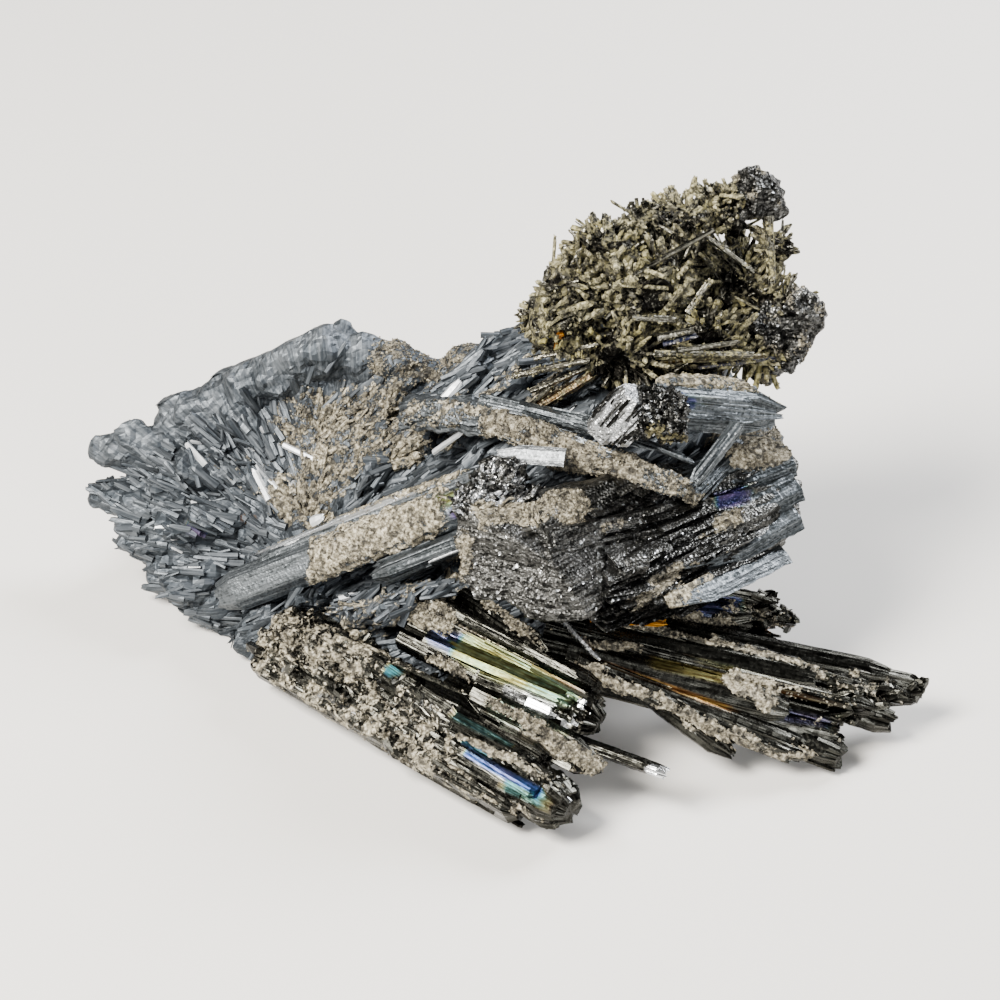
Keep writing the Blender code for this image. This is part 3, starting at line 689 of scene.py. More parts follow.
# Bright facets that end the middle and the front bundle, and a splinter across the long right one, painted
# silver as painted highlights
MIRRORS = {
    "middle_bundle": [
        crystal((6.6, -14.0, 7.8), (7.2, -12.2, 11.0), 1.0, 0.8, TOWARDS_KEY, 0.9, 0.3),
        crystal((7.7, -14.3, 8.6), (8.7, -12.8, 11.0), 1.4, 0.8, (-0.2, -0.7, 0.7), 0.9, 0.3),
        crystal((8.8, -14.4, 8.8), (9.6, -13.4, 10.4), 0.8, 0.7, TOWARDS_KEY, 0.9, 0.3),
        crystal((2.8, -11.5, 9.4), (6.0, -13.4, 9.1), 1.8, 0.8, (0.3, -0.7, 0.65), 0.9, 0.6),
    ],
    "front_bundle": [
        crystal((3.8, -21.2, 7.0), (6.4, -23.0, 6.0), 1.0, 0.7, TOWARDS_KEY, 0.9, 0.2),
        crystal((5.6, -21.9, 6.2), (7.4, -23.0, 5.4), 0.7, 0.6, (0.2, -0.8, 0.6), 0.9, 0.2),
    ],
    "long_right_blades": [
        crystal((6.4, -4.6, 15.1), (10.5, -8.0, 12.1), 0.7, 0.5, TOWARDS_KEY, 0.7, 0.5),
    ],
}

# The front and the middle bundle end in a granular break with grooves that run in to its middle
BREAKS = {
    "front_bundle": crystal((3.2, -19.2, 4.6), (7.5, -23.0, 4.0), 6.0, 5.8, DISPLAY, 0.55, 1.2),
    "middle_bundle": crystal((6.2, -11.6, 9.2), (10.6, -14.2, 8.6), 4.6, 3.6, DISPLAY, 0.6, 1.2),
}

# The crystals of each blade bundle
BUNDLES = {
    "front_bundle": [
        *sheaf((-24.5, 5.0, 5.4), (4.8, -21.6, 5.2), 8.2, 5.6, 4, 3, DISPLAY, 3.0, 0.95),
        crystal((-12, -6, 5.4), (6.9, -23.2, 4.4), 5.8, 5.2, DISPLAY, 0.8, 1.5),
        crystal((-20, 0, 8.6), (-2, -13, 8.2), 3.6, 3.2, UP, 0.4, 3),
    ],
    "middle_bundle": [
        *sheaf((-9.5, 0.6, 11.4), (10.0, -13.2, 9.4), 6.4, 4.4, 4, 8, DISPLAY, 3.0),
        crystal((-4, 2.4, 12.6), (5, -7.6, 12.6), 2.6, 2.4, UP, 0.4, 4),
    ],
    "slender_blades": [
        crystal((-6, -8, 8.4), (10.6, -18.6, 6.0), 4.4, 2.6, UP, 0.4, 4),
        crystal((-2, -6.5, 9.4), (8.6, -15.2, 6.4), 3.2, 2.2, UP, 0.4, 3),
        crystal((2, -12, 7.4), (17.4, -19.2, 6.0), 1.7, 1.4, UP, 0.8, 1),
    ],
    "long_right_blades": [
        *sheaf((4, -3.6, 11.8), (39.5, -7.6, 3.6), 7.6, 4.0, 4, 21, (0, -0.6, 0.8), 6.0, 1.1),
        *sheaf((7, -1.5, 12.2), (45, -3, 4.4), 4.6, 3.4, 3, 4, UP, 9.0),
        crystal((8, -6.4, 10.6), (32.5, -11.6, 2.6), 3.4, 3.0, DISPLAY, 0.4, 3),
        crystal((15, -7, 7.8), (24.6, -12.4, 2.8), 3.0, 2.6, LOW, 0.4, 2),
        crystal((30, -5, 6.4), (42.0, -6.6, 2.6), 3.4, 3.0, DISPLAY, 0.7, 1.5),
        crystal((26, -8, 4.6), (36.4, -11.4, 1.8), 3.6, 2.8, DISPLAY, 0.7, 1.5),
    ],
    "upper_right_blades": [
        *sheaf((5, 3, 14.2), (31.6, 2.8, 8.4), 5.6, 3.8, 4, 9, DISPLAY, 5.0),
        crystal((10, 0.6, 12.8), (22, -0.8, 10.4), 2.6, 2.2, UP, 0.4, 4),
    ],
}

# The ridge blade, and the two that it grew with, above it and below
RIDGE = [
    crystal((2, 5.5, 25.5), (-31, 12.5, 5.2), 5.0, 3.2, (0, -0.75, 0.65), 0.7, 3),
    crystal((-1, 7.6, 25.2), (-27, 13.0, 9.2), 2.2, 2.0, UP, 0.5, 5),
    crystal((2, 3.4, 22.4), (-14, 6.4, 12.4), 2.6, 2.0, DISPLAY, 0.4, 4),
]
RIDGE_CRUST_FROM = -20.5  # x of the straight edge where the ridge's crust starts
RIDGE_CRUST_TO = -5.5  # x where it ends

# The long striated blades that the block steps out in
BLOCK_LEDGES = [
    crystal((3, -2, 25.8), (31.2, 13.4, 22.2), 3.6, 5.4, DISPLAY, 0.5, 4),
    crystal((4, -3.5, 24.4), (31.4, 11.2, 20.6), 3.2, 6.4, DISPLAY, 0.6, 3),
    crystal((4, -5.2, 23.2), (31.8, 9.6, 18.8), 3.4, 5.8, DISPLAY, 0.5, 4),
    crystal((5, -6.6, 21.6), (30.4, 7.2, 17.4), 3.0, 5.6, DISPLAY, 0.5, 3),
]
# Broad dulled blades that hang out past the ledges, on the right
BLOCK_WINGS = [
    crystal((29.6, 4.8, 17.6), (17.4, -6.2, 18.4), 5.0, 0.9, TOWARDS_KEY, 0.25, 5),
    crystal((28.2, 5.2, 19.4), (19.0, -2.8, 20.4), 2.2, 0.8, (-0.2, -0.7, 0.7), 0.3, 4),
    crystal((31.2, 7.2, 20.4), (21.2, 0.0, 19.0), 4.4, 1.8, (0, -0.6, 0.8), 0.6, 3),
    crystal((31.4, 9.2, 22.6), (20.6, 1.8, 21.4), 4.2, 1.8, (0, -0.6, 0.8), 0.6, 3),
    crystal((30.8, 11.4, 24.4), (19.6, 5.0, 23.8), 4.4, 2.0, (0, -0.6, 0.8), 0.6, 3),
    crystal((28.8, 11.2, 25.8), (18.5, 5.6, 26.4), 3.2, 1.4, (0, -0.6, 0.8), 0.5, 3),
]
FISSURE_X = 11.6  # where the loaf ends in a dark crack and the ledges start
LAYER_RUN = (0.8, 0.6, 0.0)  # which way the block's layers run where it steps out in ledges
LAYER_RISE = 0.04  # mm that the layers rise for each mm in x
LEDGES_THIN_OUT = (24, 28)  # x where they do
PALE_END = (21, 26)  # x where the block gets paler to the right
CRUMB_HEAP = ((-4, 1, 27), (2, 3, 27), 3.4)  # where crumbs lie heaped on it, as in near()

CURVED_ROOT, CURVED_TIP = (-10.4, 17.6, 26.0), (20.6, 1.1, 28.3)
CURVED_BOW = (0.0, 0.2, 1.7)
CURVED_CRUST_FROM, CURVED_CRUST_TO = (-4, -1), (13, 16)  # x where its crust comes in and goes out
# Blades that lie along the curved one
CURVED_STRIPS = [
    crystal((6, 10.0, 31.0), (17.0, 4.4, 30.2), 1.5, 0.5, UP, 0.4, 2),
    crystal((2, 11.4, 31.4), (13.4, 7.2, 30.8), 1.6, 0.5, UP, 0.4, 2),
    crystal((11, 4.4, 28.4), (19.4, 0.8, 27.2), 1.1, 0.7, DISPLAY, 0.4, 1),
    crystal((12, 5.4, 29.4), (19.6, 1.4, 28.2), 0.8, 0.6, DISPLAY, 0.4, 1),
    crystal((-2, 14.0, 30.0), (15, 6.2, 30.6), 1.6, 1.8, UP, 0.5, 3),
    crystal((14, 4.6, 28.4), (19.4, 0.2, 27.8), 0.9, 0.8, DISPLAY, 0.5, 1),
    crystal((14, 6.4, 30.4), (20.4, 3.2, 29.4), 0.8, 0.8, DISPLAY, 0.5, 1),
]
# A flat pale blade in front of the curved one
PALE_BLADE = crystal((6.8, 4.6, 29.2), (-0.6, 7.2, 28.1), 2.1, 0.4, TOWARDS_KEY, 0.3, 3.0)
# The small grey blades that run up from the curved one's end, in a V
STRUT = [
    crystal((24.8, 6.2, 32.2), (19.9, 0.9, 28.3), 1.7, 1.5, DISPLAY, 0.7, 1),
    crystal((28.6, 17.6, 25.6), (19.4, 1.6, 26.2), 2.8, 2.4, DISPLAY, 0.6, 3),
    crystal((29.6, 18, 22.6), (23.6, 8, 23.4), 2.8, 2.6, DISPLAY, 0.5, 3),
]
# The crystal that is snapped across: its bright stub, the break and the long end past it
SILVER_STUB = [
    crystal((10.5, 5.2, 32.0), (14.1, 4.6, 37.4), 4.0, 3.6, DISPLAY, 0.8, 1),
    crystal((12.3, 4.4, 31.8), (15.7, 4.0, 36.4), 2.8, 3.0, DISPLAY, 0.7, 1),
]
ROUGH_BREAK = crystal((14.2, 4.2, 35.2), (19.6, 4.8, 33.9), 6.2, 4.4, DISPLAY, 0.7, 1.4)
BREAK_STAIN = ((16.0, 2.2, 34.4), (18.6, 2.4, 32.4), 1.6)  # an ochre place on it, as in near()
GREY_END = [
    crystal((16.4, 6.6, 34.6), (30.4, 12.0, 29.6), 5.2, 3.8, DISPLAY, 0.45, 4),
    crystal((17, 8.2, 35.8), (26.5, 13.0, 32.4), 2.2, 2.0, DISPLAY, 0.5, 3),
]

# The fan's upper left edge is straight: nothing stands past the plane through this point, with
# this normal
RIM_POINT = np.array((-30.4, 20.47, 29.24))
RIM_NORMAL = np.array((-0.4269, 0.4658, 0.7751))
RIM_END = -14.0  # x where that edge ends
# Spheres, in mm, that fill the gaps between the crystals along that rim
RIM_FILL = [
    ((-36.4, 30, 16.2), 2.4), ((-31.5, 30, 19.0), 2.8), ((-28.4, 30, 21.4), 2.8),
    ((-25.2, 30, 23.0), 3.0), ((-22.6, 30, 24.8), 3.0), ((-19.6, 30, 26.4), 3.2),
    ((-15.0, 30, 25.0), 3.0), ((-11.0, 29, 24.6), 2.8),
]
BARE_PATCH = ((-15, 29, 26), (-3, 28, 25.5), 4.5)  # a crusted place by the rim where none stands
FAN_HEART = np.array([-17.0, 13.5, 6.5])  # where the fan's crystals radiate from
FAN_SPREAD = 20  # mm of growth coordinates for each radian between two directions
FAN_MIDDLE_LEAD = (0.85, 0.25, 0.4)  # which way they lean by the middle of the object
FAN_MIDDLE_X, FAN_MIDDLE_BACK = (-24, -15), (-32, -27)  # where that starts, in x and in -y
# Short bright blades that catch the light on the fan, and are painted silver too as painted highlights: feet,
# tips and widths in mm
FAN_BRIGHT = [
    ((-24.0, 24.4, 17.4), (-19.6, 21.4, 17.0), 0.7),
    ((-28.2, 25.6, 16.6), (-26.4, 24.6, 16.4), 0.7),
    ((-6.6, 15.8, 28.4), (-4.2, 17.4, 30.6), 1.1),
    ((-7.2, 15.6, 22.4), (-3.8, 13.6, 26.6), 0.7),
    ((-20.4, 12.2, 15.6), (-19.0, 11.6, 16.8), 1.2),
]

# Spheres, in mm, that the needles of the cluster reach: its core is the skin round smaller ones
CLUSTER_LUMPS = [
    ((6.8, 17.0, 42.6), 3.8), ((10.9, 20.0, 46.4), 3.6), ((12.6, 19.0, 44.8), 4.0),
    ((15.6, 22.5, 46.4), 4.0), ((6.4, 15.6, 39.2), 5.4), ((8.8, 19.6, 41.6), 5.0),
    ((10.6, 21.6, 43.6), 4.2), ((15.0, 18.6, 41.4), 6.2), ((19.5, 24.0, 44.9), 4.8),
    ((23.4, 27.4, 46.6), 3.6), ((24.4, 26.6, 44.8), 3.4), ((29.6, 25.6, 42.2), 3.0),
    ((30.2, 21.4, 36.6), 4.2), ((12.6, 14.4, 35.6), 4.8), ((21.6, 17.4, 35.8), 5.4),
    ((27.2, 19.2, 33.4), 4.0), ((24.8, 27.6, 36.0), 6.0), ((16.5, 27.0, 36.0), 6.6),
    ((18.5, 21.6, 30.0), 6.4),
]
CORE_DEPTH = 1.8  # mm from those spheres in to the core
# Spheres, in mm, that stay empty: the hollow at the right and gaps along the foot
HOLLOWS = [
    ((25.4, 20.8, 42.0), 5.2), ((22.4, 11.6, 36.0), 4.0), ((19.0, 10.0, 34.6), 2.8),
    ((11.5, 10.6, 36.2), 2.4), ((16.6, 14.4, 42.8), 2.0),
]
# Longer needles that lie free: their feet, tips and widths in mm
LONG_NEEDLES = [
    ((28.5, 24.0, 47.0), (28.9, 20.2, 40.4), 1.1),
    ((21.2, 21.0, 46.8), (27.0, 20.4, 42.2), 0.7),
    ((12.6, 14.6, 44.6), (22.6, 20.0, 47.8), 0.6),
    ((13.8, 12.6, 41.4), (18.6, 12.8, 41.0), 0.9),
    ((19.6, 13.6, 41.4), (22.2, 15.6, 44.4), 0.8),
    ((16.2, 12.0, 37.4), (27.0, 14.6, 35.6), 0.8),
    ((17.0, 11.8, 36.4), (28.4, 15.6, 34.8), 0.7),
    ((18.6, 12.2, 37.6), (25.4, 14.0, 37.6), 0.7),
    ((21.0, 12.6, 35.2), (29.4, 16.4, 34.0), 0.6),
    ((3.6, 13.0, 36.2), (10.4, 12.4, 38.4), 0.8),
    ((1.4, 13.6, 33.6), (9.6, 11.6, 37.0), 0.9),
    ((4.2, 12.2, 30.6), (9.9, 11.8, 35.0), 1.2),
    ((3.2, 13.0, 32.0), (9.6, 12.4, 35.6), 0.7),
    ((2.0, 12.8, 29.0), (5.6, 12.6, 33.0), 0.8),
    ((16.4, 11.2, 39.8), (20.4, 11.8, 40.4), 1.0),
    ((17.0, 11.0, 39.2), (20.8, 11.6, 40.0), 0.8),
]
# Dark granular lumps that carry no needles: spheres in mm
BARE_LUMPS = [
    ((27.4, 27.4, 47.8), 2.7), ((25.8, 27.0, 46.6), 1.9), ((28.9, 27.0, 46.2), 1.8),
    ((27.0, 27.8, 49.4), 1.4), ((31.6, 20.6, 37.2), 2.5), ((33.4, 20.6, 36.6), 1.7),
    ((30.4, 20.2, 32.8), 2.6), ((29.0, 20.0, 35.4), 2.6), ((31.2, 20.4, 34.8), 2.4),
    ((28.6, 19.4, 31.0), 1.8),
]
# Yellow places on the needles: middle, radius and how yellow
STAINS = [
    ((20.8, 15.4, 40.6), 2.4, 0.8), ((5.6, 11.4, 38.8), 1.7, 1.0),
    ((14.6, 18.0, 46.8), 3.0, 0.5), ((9.0, 12.4, 38.6), 3.0, 0.3),
    ((30.0, 22.4, 42.6), 2.4, 0.5), ((24.0, 13.0, 33.0), 2.4, 0.8),
]


def measures(specs):
    """The blades' measures as arrays, ready for crystals()."""
    keys = ("root", "tip", "width", "thick", "facing")
    return [np.array([spec[key] for spec in specs], float) for key in keys]


def main_blades(specs, dice, around=36, rings=26, rib=0.06, jag=1.0, rough=0.06, longest_point=2.2):
    """Each blade in full, with its own chisel end."""
    made = []
    for spec in specs:
        end = {"chisel": spec["chisel"], "point": min(spec["point"], longest_point)}
        shape = {"around": around, "rings": rings, "rib": rib, "jag": jag, "rough": rough, **end}
        made.append(crystals(*measures([spec]), dice, shade=dice.uniform(-0.5, 0.5), **shape))
    return joined(made)


# How a small crystal ends: splinters and the length of its point, in mm, and how far it narrows
SMALL_END = {"jag": 0.5, "chisel": 0.7, "point": 0.5}


def lamellae(specs, count, width, dice, reach=0.98):
    """Thin strips that lie along the blades and stop in steps, as layers of parallel growth do.

    A strip's line starts at a random place round a blade's section, on its skin, and takes a random
    stretch of its length.
    """
    root, tip, wide, thick, facing = measures(specs)
    length = np.linalg.norm(tip - root, axis=1)
    picked = dice.choice(len(specs), count, p=length * (wide + thick) / (length * (wide + thick)).sum())
    axis = unit(tip - root)[picked]
    across = unit(np.cross(facing[picked], axis))
    normal = np.cross(axis, across)
    x, y = hexagon(dice.uniform(0, 6, count)).T
    out = across * (x * wide[picked] / 2)[:, None] + normal * (y * thick[picked] / 2)[:, None]
    start = dice.uniform(-0.02, 0.72, count)
    end = np.minimum(start + dice.uniform(0.12, 0.65, count), dice.uniform(0.9, 1.01, count))
    span = (length[picked] * axis.T).T
    foot = root[picked] + span * start[:, None] + out * reach
    splay = unit(out) * dice.uniform(-0.1, 0.25, (count, 1))
    head = root[picked] + span * end[:, None] + out * reach * dice.uniform(0.92, 1.0, (count, 1)) + splay
    return crystals(
        foot, head, width * dice.uniform(0.5, 1.9, count), width * dice.uniform(0.45, 0.9, count),
        unit(out) + dice.normal(0, 0.25, (count, 3)), dice, shade=dice.uniform(-1, 1, count), **SMALL_END,
    )


def sprouts(part, weight, count, length, width, lead, dice, lift, stray, sunk=0.5, box=None, **shape):
    """Short crystals that grow out of a surface, and the places of their feet for each of their points.

    Each leans along lead, lift of the way off the surface and stray of the way anywhere, and stands
    with sunk of its length inside. One that would pass the box of the node named is left out.
    """
    places, out = scatter(part, weight, count, dice)
    lead = lead(places) if callable(lead) else np.broadcast_to(np.asarray(lead, float), places.shape)
    level = unit(lead - (lead * out).sum(axis=1, keepdims=True) * out * 0.8)
    lean = unit(level + lift * out + dice.normal(0, stray, (count, 3)))
    length = length * dice.uniform(0.5, 1.5, (count, 1))
    width = width * dice.uniform(0.45, 1.7, count)
    flatness = dice.uniform(0.35, 0.75, count)
    shade = dice.uniform(-1, 1, count)
    facing = out + dice.normal(0, 0.4, (count, 3))
    foot, head = places - lean * length * sunk, places + lean * length * (1 - sunk)
    if box:
        fits = in_box(foot, box, 0.3) & in_box(head, box, 0.3)
        grown = (foot, head, width, flatness, shade, facing, places)
        foot, head, width, flatness, shade, facing, places = (each[fits] for each in grown)
    shape = {**SMALL_END, **shape}
    made = crystals(foot, head, width, width * flatness, facing, dice, shade=shade, **shape)
    return made, np.repeat(places, len(made["points"]) // len(places), axis=0)


def in_box(places, node, margin):
    """Which places are within margin mm of the node's box, off the floor and short of the rim."""
    low, high = (np.array(corner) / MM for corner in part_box(node))
    inside = ((places > low - margin) & (places < high + margin)).all(axis=1)
    short_of_rim = (places[:, 0] > RIM_END) | ((places - RIM_POINT) @ RIM_NORMAL < 0.2)
    return inside & short_of_rim & (places[:, 2] > 0.3)


# ---------------------------------------------------------------- finishes


def add_node(tree, kind, inputs=None, output=0, **settings):
    """Adds a node with its settings, its input values and its links, and returns one output socket."""
    node = tree.nodes.new("ShaderNode" + kind)
    for name, value in settings.items():
        setattr(node, name, value)
    for socket, value in (inputs or {}).items():
        if isinstance(value, bpy.types.NodeSocket):
            tree.links.new(value, node.inputs[socket])
        else:
            node.inputs[socket].default_value = value
    return node.outputs[output]


def per_mm(size):
    """The scale, on coordinates in metres, of a pattern whose features are size mm wide."""
    return 1000 / size


def set_stops(ramp, colours, low=0.0, high=1.0):
    """Spreads the colours evenly along the colour ramp of that socket's node, from low to high."""
    stops = ramp.node.color_ramp.elements
    while len(stops) < len(colours):
        stops.new(0.5)
    for i, colour in enumerate(colours):
        stops[i].position = low + (high - low) * i / (len(colours) - 1)
        stops[i].color = (*colour, 1)


# Interference colours of a thin oxide film as it thickens
FILM_COLOURS = ("#9c5f16", "#8b7a2c", "#7f8352", "#50705f", "#286670", "#2b4a86", "#464379", "#50365b")


def mineral(name, colours, metal, crust, gloss, groove, grit, painted_glint, stretch=(4.0, 0.22, 4.0)):
    """Stibnite that turns to matt oxide crust where the crust trait is high.

    metal names its dark and its light colour, and crust the three colours of its oxide. gloss is the
    metal's roughness. groove and grit are the depths, in mm, of the lines along growth and of a
    broken grain. painted_glint is the share of grains painted silver, as painted glints. stretch is how
    many grooves there are in a mm round, along and through growth.
    """
    metal, crust = ([tuple(getattr(colours, key)) for key in keys] for keys in (metal, crust))
    made = bpy.data.materials.new(name)
    made.use_nodes = True
    tree = made.node_tree
    shader = tree.nodes["Principled BSDF"]

    here = add_node(tree, "TexCoord", output="Object")
    trait = {key: add_node(tree, "Attribute", output="Fac", attribute_name=key) for key in TRAITS}
    growth = add_node(tree, "Attribute", output="Vector", attribute_name="grain")
    # Growth lines are about 0.02 mm apart on the mineral. They are drawn 0.25 mm apart, to show
    drawn = add_node(tree, "Mapping", {"Vector": growth, "Scale": stretch})
    lines = add_node(tree, "TexNoise", {"Vector": drawn, "Scale": 1.0, "Detail": 4.0, "Roughness": 0.6})
    patches = add_node(tree, "TexNoise", {"Vector": here, "Scale": per_mm(1.6), "Detail": 4.0})
    pits = add_node(tree, "TexNoise", {"Vector": here, "Scale": per_mm(0.7), "Detail": 3.0})
    # Sandy oxide, in grains from 0.1 to 0.4 mm
    sand = add_node(tree, "TexNoise", {"Vector": here, "Scale": per_mm(0.4), "Detail": 5.0, "Roughness": 0.7})
    cells = add_node(tree, "TexVoronoi", {"Vector": here, "Scale": per_mm(0.3)}, output="Distance")
    cell_tone = add_node(tree, "Math", {0: cells.node.outputs["Color"], 1: 0.0}, operation="ADD")

    # Crust covers where its trait is high, with an edge torn by the patches and the sand
    thin = add_node(tree, "Math", {0: trait["crust"], 1: 0.8, 2: -1.1}, operation="MULTIPLY_ADD")
    torn = add_node(tree, "Math", {0: patches, 1: 1.3, 2: thin}, operation="MULTIPLY_ADD")
    torn = add_node(tree, "Math", {0: sand, 1: 0.9, 2: torn}, operation="MULTIPLY_ADD")
    cover = add_node(tree, "MapRange", {"Value": torn, "From Min": 0.46, "From Max": 0.54})

    # The metal: dark to light along its lines and by the shade trait, which holds painted shade; silver where
    # a painted highlight or a painted glint lies; tinted where a film lies.
    # A Mix node that mixes colours has its inputs at 6 and 7 and its output at 2
    toned = add_node(tree, "MapRange", {"Value": lines, "From Min": 0.36, "From Max": 0.64})
    toned = add_node(tree, "Math", {0: trait["shade"], 1: 0.3, 2: toned}, operation="MULTIPLY_ADD")
    if grit:
        ends = {"Value": cell_tone, "From Min": 0.1, "From Max": 0.9, "To Min": -0.45, "To Max": 0.45}
        uneven = add_node(tree, "MapRange", ends)
        toned = add_node(tree, "Math", {0: toned, 1: uneven}, operation="ADD")
    toned = add_node(tree, "Math", {0: toned, 1: 0.0}, operation="ADD", use_clamp=True)
    tone = add_node(tree, "Mix", {0: toned, 6: (*metal[0], 1), 7: (*metal[1], 1)}, 2, data_type="RGBA")
    painted_highlight = add_node(tree, "Math", {0: trait["shade"], 1: 1.0}, operation="SUBTRACT", use_clamp=True)
    if painted_glint:
        ends = {"Value": cell_tone, "From Min": 0.92 - painted_glint, "From Max": 0.96 - painted_glint, "To Max": 0.8}
        painted_glints = add_node(tree, "MapRange", ends)
        painted_highlight = add_node(tree, "Math", {0: painted_highlight, 1: painted_glints}, operation="MAXIMUM")
    tone = add_node(tree, "Mix", {0: painted_highlight, 6: tone, 7: (*colours.silver, 1)}, 2, data_type="RGBA")
    ends = {"Value": lines, "From Min": 0.3, "From Max": 0.7, "To Min": -0.12, "To Max": 0.12}
    phase = add_node(tree, "MapRange", ends)
    phase = add_node(tree, "Math", {0: phase, 1: trait["hue"]}, operation="ADD")
    ramp = add_node(tree, "ValToRGB", {"Fac": phase})
    set_stops(ramp, [linear(colour) for colour in FILM_COLOURS])
    banded = add_node(tree, "MapRange", {"Value": lines, "From Min": 0.4, "From Max": 0.62, "To Min": 0.2})
    film = add_node(tree, "VectorMath", {0: ramp, "Scale": banded}, operation="SCALE")
    tinted = add_node(tree, "Math", {0: trait["film"], 1: 0.0}, operation="ADD", use_clamp=True)
    tone = add_node(tree, "Mix", {0: tinted, 6: tone, 7: film}, 2, data_type="RGBA")

    # The crust: its three colours by the sand, then ochre, with painted shade in its pits and on feet, and
    # bumps pale
    tan = add_node(tree, "ValToRGB", {"Fac": sand})
    set_stops(tan, crust, 0.34, 0.66)
    tan = add_node(tree, "Mix", {0: trait["ochre"], 6: tan, 7: (*colours.ochre, 1)}, 2, data_type="RGBA")
    ends = {"Value": trait["shade"], "From Min": -2.0, "From Max": 1.0, "To Min": 0.2, "To Max": 1.1}
    level = add_node(tree, "MapRange", ends)
    ends = {"Value": patches, "From Min": 0.32, "From Max": 0.62, "To Min": 0.55, "To Max": 1.1}
    dust = add_node(tree, "MapRange", ends)
    # Painted shade in the crust's pits, which the bump also sinks
    pit_shade_and_depth = add_node(tree, "MapRange", {"Value": pits, "From Min": 0.4, "From Max": 0.5, "To Min": 0.22})
    level = add_node(tree, "Math", {0: level, 1: dust}, operation="MULTIPLY")
    level = add_node(tree, "Math", {0: level, 1: pit_shade_and_depth}, operation="MULTIPLY")
    tan = add_node(tree, "VectorMath", {0: tan, "Scale": level}, operation="SCALE")

    base = add_node(tree, "Mix", {0: cover, 6: tone, 7: tan}, 2, data_type="RGBA")
    tree.links.new(base, shader.inputs["Base Color"])
    bare = add_node(tree, "Math", {0: 1.0, 1: cover}, operation="SUBTRACT")
    tree.links.new(bare, shader.inputs["Metallic"])
    ends = {"Value": cell_tone, "To Min": gloss + 0.1, "To Max": max(gloss - 0.1, 0.05)}
    polish = add_node(tree, "MapRange", ends)
    polish = add_node(tree, "Math", {0: tinted, 1: 0.2, 2: polish}, operation="MULTIPLY_ADD")
    matt = add_node(tree, "Mix", {0: cover, 2: polish, 3: 0.9})
    tree.links.new(matt, shader.inputs["Roughness"])

    grooves = add_node(tree, "Math", {0: lines, 1: groove}, operation="MULTIPLY")
    broken = add_node(tree, "Math", {0: cells, 1: grit, 2: grooves}, operation="MULTIPLY_ADD")
    sandy = add_node(tree, "Math", {0: sand, 1: 0.4}, operation="MULTIPLY")
    sunken = add_node(tree, "Math", {0: pit_shade_and_depth, 1: 0.12, 2: sandy}, operation="MULTIPLY_ADD")
    relief = add_node(tree, "Mix", {0: cover, 2: broken, 3: sunken})
    bump = add_node(tree, "Bump", {"Height": relief, "Strength": 1.0, "Distance": MM})
    tree.links.new(bump, shader.inputs["Normal"])
    return made


OXIDE = ("crust_dark", "crust_mid", "crust_pale")
NEEDLE_COAT = ("needle_dark", "needle_mid", "needle_pale")
# What mineral() takes after the colours, for each finish: the names of the metal's and the crust's
# colours, gloss, groove, grit, painted glint and, where it isn't the usual one, stretch
FINISHES = {
    # Stibnite dulled by air: soft blue-grey with hardly a reflection
    "dulled_stibnite": (("dull_dark", "dull_light"), OXIDE, 0.5, 0.07, 0.04, 0.0),
    # The fan's stibnite, under a breath of dust: soft grey with blurred reflections
    "dusty_stibnite": (("dusty_dark", "dusty_light"), OXIDE, 0.6, 0.035, 0.0, 0.0),
    # Almost black faces under a thin oxide film that colours the reflections
    "filmed_stibnite": (("glassy_dark", "glassy_light"), OXIDE, 0.24, 0.05, 0.0, 0.0),
    # Broken across the grain: dark and granular, streaked along the layers, with small painted glints
    "snapped_stibnite": (
        ("broken_dark", "broken_light"), OXIDE, 0.36, 0.14, 0.12, 0.05, (0.8, 0.25, 4.0)
    ),
    # Antimony oxide that coats whole needles: matt, bumpy, grey khaki to yellow ochre
    "oxide_on_needles": (("glassy_dark", "needle_metal"), NEEDLE_COAT, 0.35, 0.06, 0.05, 0.0),
}


def finish(kind, colours):
    """The finish of that kind, made the first time that a piece asks for it."""
    return bpy.data.materials.get(kind) or mineral(kind, colours, *FINISHES[kind])


# ---------------------------------------------------------------- pieces


class Stibnite:
    """What every operator of this file shares. An operator's seed fixes what it scatters."""

    bl_options = {"REGISTER", "UNDO"}

    def execute(self, context):
        self.build(context.scene.stibnite_sizes, context.scene.stibnite_colours)
        return {"FINISHED"}


def fan_growth(places):
    """Growth coordinates round the fan's heart: the direction from it, spread out, and the distance."""
    away = places - FAN_HEART
    distance = np.linalg.norm(away, axis=1, keepdims=True)
    return np.concatenate([away / distance * FAN_SPREAD, distance], axis=1)[:, [0, 3, 2]]


def fan_lead(places):
    """Which way the fan's crystals lean: out from its heart, but to the right and up by the middle."""
    away = unit(places - FAN_HEART)
    middle = (step(places[:, 0], *FAN_MIDDLE_X) * step(-places[:, 1], *FAN_MIDDLE_BACK))[:, None]
    return unit(away * (1 - 0.8 * middle) + np.array(FAN_MIDDLE_LEAD) * middle)


